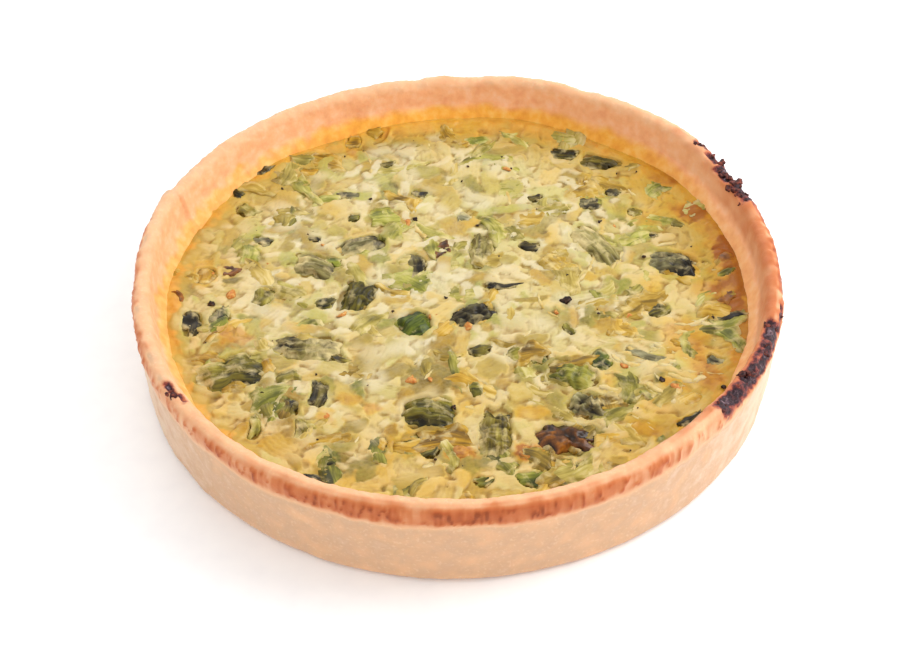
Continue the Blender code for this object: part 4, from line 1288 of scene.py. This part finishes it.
# %% Browned bits
BROWNED_BITS = (
    (-43.5, 8.2, 3.5, 3.0, -20.0, 0.75), (-2.8, 12.6, 5.8, 3.2, 55.0, 0.8), (-0.5, -40.3, 4.4, 3.4, -10.0, 0.35),
    (11.5, -40.8, 3.8, 3.2, 0.0, 0.45), (-43.1, 35.3, 1.4, 1.1, 0.0, 0.8), (51.6, 7.6, 3.4, 2.4, 80.0, 0.5),
    (50.8, -3.4, 3.8, 2.4, 60.0, 0.5), (-52.2, 0.2, 3.4, 1.2, 115.0, 0.65),
)
bits_bm, bits_layers = slab_mesh()
for number, (x, y, length, width, turn, tone) in enumerate(BROWNED_BITS):
    bit = shred((x, y, length, width, turn, tone, 0.0))
    lay_slab(bits_bm, bits_layers, bit, 12, 8, 0.35, 900 + number)
thicken(bits_bm, SLAB_THICKNESS)
finish_piece("leek_bits_browned", bits_bm, BROWNED_LEEK)

# %% [markdown]
# ## Cream strands
#
# Where custard bubbled over the leek it set in thin pale strands, close together at the right front. Each
# is a narrow bent sheet with its long edges sunk, so that only its rounded back shows.

# %% Cream strands
def strand(draw):
    """A strand, more often at the right front than elsewhere."""
    if draw.random() < 0.55:
        x, y, turn = draw.gauss(36.0, 8.0), draw.gauss(-20.0, 8.0), draw.gauss(-28.0, 16.0)
    else:
        angle, radius = draw.uniform(0.0, math.tau), 48.0 * math.sqrt(draw.random())
        x, y, turn = radius * math.cos(angle), radius * math.sin(angle), draw.uniform(0.0, 180.0)
    return Slice(x, y, draw.uniform(4.0, 10.0), draw.uniform(1.0, 2.0), turn, draw.uniform(-1.2, 1.2), 0.0, 0.0, 0.0,
                 draw.uniform(-0.2, 0.2))


STRANDS = 90
strand_draw = random.Random(31)
strand_bm, strand_layers = slab_mesh()
for number in range(STRANDS):
    piece = strand(strand_draw)
    if math.hypot(piece.x, piece.y) < 49.0:
        lay_slab(strand_bm, strand_layers, piece, 12, 2, strand_draw.uniform(0.1, 0.4), 1200 + number)
thicken(strand_bm, 0.5)


def strand_material():
    material, tree = new_material("set_cream")
    place = add_node(tree, "ShaderNodeTexCoord").outputs["Object"]
    # Slow changes over 4 mm from cream to egg yellow.
    drift = add_node(tree, "ShaderNodeTexNoise", {"Vector": place, "Scale": 260.0, "Detail": 4.0, "Roughness": 0.6})
    tint = add_node(tree, "ShaderNodeValToRGB", {"Fac": drift.outputs["Fac"]},
                    stops=((0.3, "B9984A"), (0.5, "C6AE70"), (0.7, "CDBC8E")))
    pores = add_node(tree, "ShaderNodeTexNoise", {"Vector": place, "Scale": 1900.0, "Detail": 3.0})
    bump = add_node(tree, "ShaderNodeBump", {"Strength": 0.3, "Distance": 0.0001, "Height": pores.outputs["Fac"]})
    shader = add_node(tree, "ShaderNodeBsdfPrincipled", {
        "Base Color": tint.outputs["Color"], "Roughness": 0.4, "IOR": 1.38, "Normal": bump.outputs["Normal"],
        "Specular IOR Level": 0.2, "Coat Weight": 0.12, "Coat Roughness": 0.15,
        "Subsurface Weight": 0.3, "Subsurface Radius": (1.0, 0.7, 0.35), "Subsurface Scale": 0.001})
    add_node(tree, "ShaderNodeOutputMaterial", {"Surface": shader.outputs["BSDF"]})
    return material


finish_piece("custard_strands", strand_bm, strand_material())

# %% [markdown]
# ## Grains and flecks
#
# Cracked pepper and small orange flecks of carrot are scattered over the top. A grain is a small
# icosphere whose points are pushed in and out, then flattened and half sunk.

# %% Scatter grains
PEPPER_PLACES = ((-7.8, 21.9, 0.8), (-2.0, -1.4, 0.6), (28.8, 19.4, 0.9), (36.3, 8.9, 0.7), (20.4, -3.2, 2.0),
                 (26.4, -6.6, 0.6), (-0.9, -29.7, 0.8), (36.0, -24.8, 0.9), (46.7, -27.5, 0.8), (-46.1, -1.6, 1.0),
                 (-16.9, 28.2, 0.6), (-12.0, -4.5, 0.5), (11.9, 37.4, 0.6))
CARROT_PLACES = ((-9.5, 20.7), (-21.7, -4.8), (-4.2, -6.3), (1.8, -9.2), (32.3, -7.2), (29.0, 11.9), (-8.6, -22.6),
                 (-4.7, -22.9), (-3.8, -37.8), (29.6, -21.0), (38.4, -26.9), (-23.6, -31.2), (-43.0, 1.4),
                 (-35.9, 46.6), (11.3, 37.7))


def lay_grain(bm, draw, centre, size, flatness, detail):
    """One grain of about size across, turned at random."""
    grain = bmesh.ops.create_icosphere(bm, subdivisions=detail, radius=size / 2.0)["verts"]
    seed = Vector((draw.uniform(0.0, 50.0), draw.uniform(0.0, 50.0), 0.0))
    for vert in grain:
        vert.co *= 1.0 + 1.3 * noise.noise(vert.co / (0.55 * size) + seed)
        vert.co.z *= flatness
    turn = Matrix.Rotation(draw.uniform(0.0, math.tau), 3, "Z") @ Matrix.Rotation(draw.uniform(-0.4, 0.4), 3, "X")
    bmesh.ops.rotate(bm, cent=(0.0, 0.0, 0.0), matrix=turn, verts=grain)
    bmesh.ops.translate(bm, vec=centre, verts=grain)


def on_custard(x, y, above):
    return Vector((x, y, pool_level(x, y) + above))


def random_places(draw, count):
    places = []
    for _ in range(count):
        angle, radius = draw.uniform(0.0, math.tau), 51.0 * math.sqrt(draw.random())
        places.append((radius * math.cos(angle), radius * math.sin(angle)))
    return places


grain_draw = random.Random(41)
pepper_bm = bmesh.new()
for x, y, size in PEPPER_PLACES:
    lay_grain(pepper_bm, grain_draw, on_custard(x, y, 0.4), size, 0.6, 2)
for x, y in random_places(grain_draw, 30):
    lay_grain(pepper_bm, grain_draw, on_custard(x, y, 0.35), grain_draw.uniform(0.25, 0.6), 0.7, 1)
carrot_bm = bmesh.new()
for x, y in CARROT_PLACES:
    lay_grain(carrot_bm, grain_draw, on_custard(x, y, 0.1), grain_draw.uniform(1.2, 2.1), 0.4, 2)
for x, y in random_places(grain_draw, 12):
    lay_grain(carrot_bm, grain_draw, on_custard(x, y, 0.1), grain_draw.uniform(0.6, 1.0), 0.5, 1)


# %% Pepper and carrot materials
def grain_material(name, dark, middle, light, roughness):
    material, tree = new_material(name)
    place = add_node(tree, "ShaderNodeTexCoord").outputs["Object"]
    # Each grain is cracked or cut, so its colour changes within half a millimetre.
    speckle = add_node(tree, "ShaderNodeTexNoise", {"Vector": place, "Scale": 1700.0, "Detail": 3.0})
    tint = add_node(tree, "ShaderNodeValToRGB", {"Fac": speckle.outputs["Fac"]},
                    stops=((0.3, dark), (0.5, middle), (0.7, light)))
    bump = add_node(tree, "ShaderNodeBump", {"Strength": 0.5, "Distance": 0.0001, "Height": speckle.outputs["Fac"]})
    shader = add_node(tree, "ShaderNodeBsdfPrincipled", {
        "Base Color": tint.outputs["Color"], "Roughness": roughness, "IOR": 1.4, "Normal": bump.outputs["Normal"],
        "Specular IOR Level": 0.2, "Coat Weight": 0.1, "Coat Roughness": 0.25, "Subsurface Weight": 0.1,
        "Subsurface Scale": 0.0005})
    add_node(tree, "ShaderNodeOutputMaterial", {"Surface": shader.outputs["BSDF"]})
    return material


PEPPER = grain_material("cracked_black_pepper", "120C0A", "2A1A12", "5A4230", 0.55)
CARROT = grain_material("cooked_carrot", "A8602A", "BE7C3A", "C9A05C", 0.45)
finish_piece("pepper_grains", pepper_bm, PEPPER)
finish_piece("carrot_flecks", carrot_bm, CARROT)

# %% [markdown]
# ## Charred flakes
#
# The burnt stretches of the rim have crumbled: flakes of char stand up from them and break the outline.
# They are the same grains, dropped on to the crust along the burns and half sunk in it.

# %% Char flakes
def rim_point(angle, side, above):
    """A point on the crest: side runs from -1 at its inner edge to 1 at its outer edge."""
    radius = CREST_RADIUS + side * RIM_WIDTH / 2.0 + wall_swell(angle)
    high_over = Vector((radius * math.cos(angle), radius * math.sin(angle), 2.0 * SHELL_HEIGHT))
    return CRUST_SURFACE.ray_cast(high_over, Vector((0.0, 0.0, -1.0)))[0] + Vector((0.0, 0.0, above))


flake_draw = random.Random(53)
flake_bm = bmesh.new()
for burn in BURNS:
    for _ in range(int((3 if burn.centre > 0.0 else 1) * min(4.0, burn.half_width) * burn.strength ** 3)):
        angle = math.radians(burn.centre + flake_draw.uniform(-1.0, 1.0) * burn.half_width)
        side = flake_draw.uniform(max(-1.0, burn.inner), 0.85)
        size = flake_draw.triangular(0.5, 1.8, 0.8)
        lay_grain(flake_bm, flake_draw, rim_point(angle, side, 0.0), size, 0.6, 2)

CHAR = grain_material("charred_crust", "241014", "4A2420", "8A4434", 0.6)
finish_piece("char_flakes", flake_bm, CHAR)
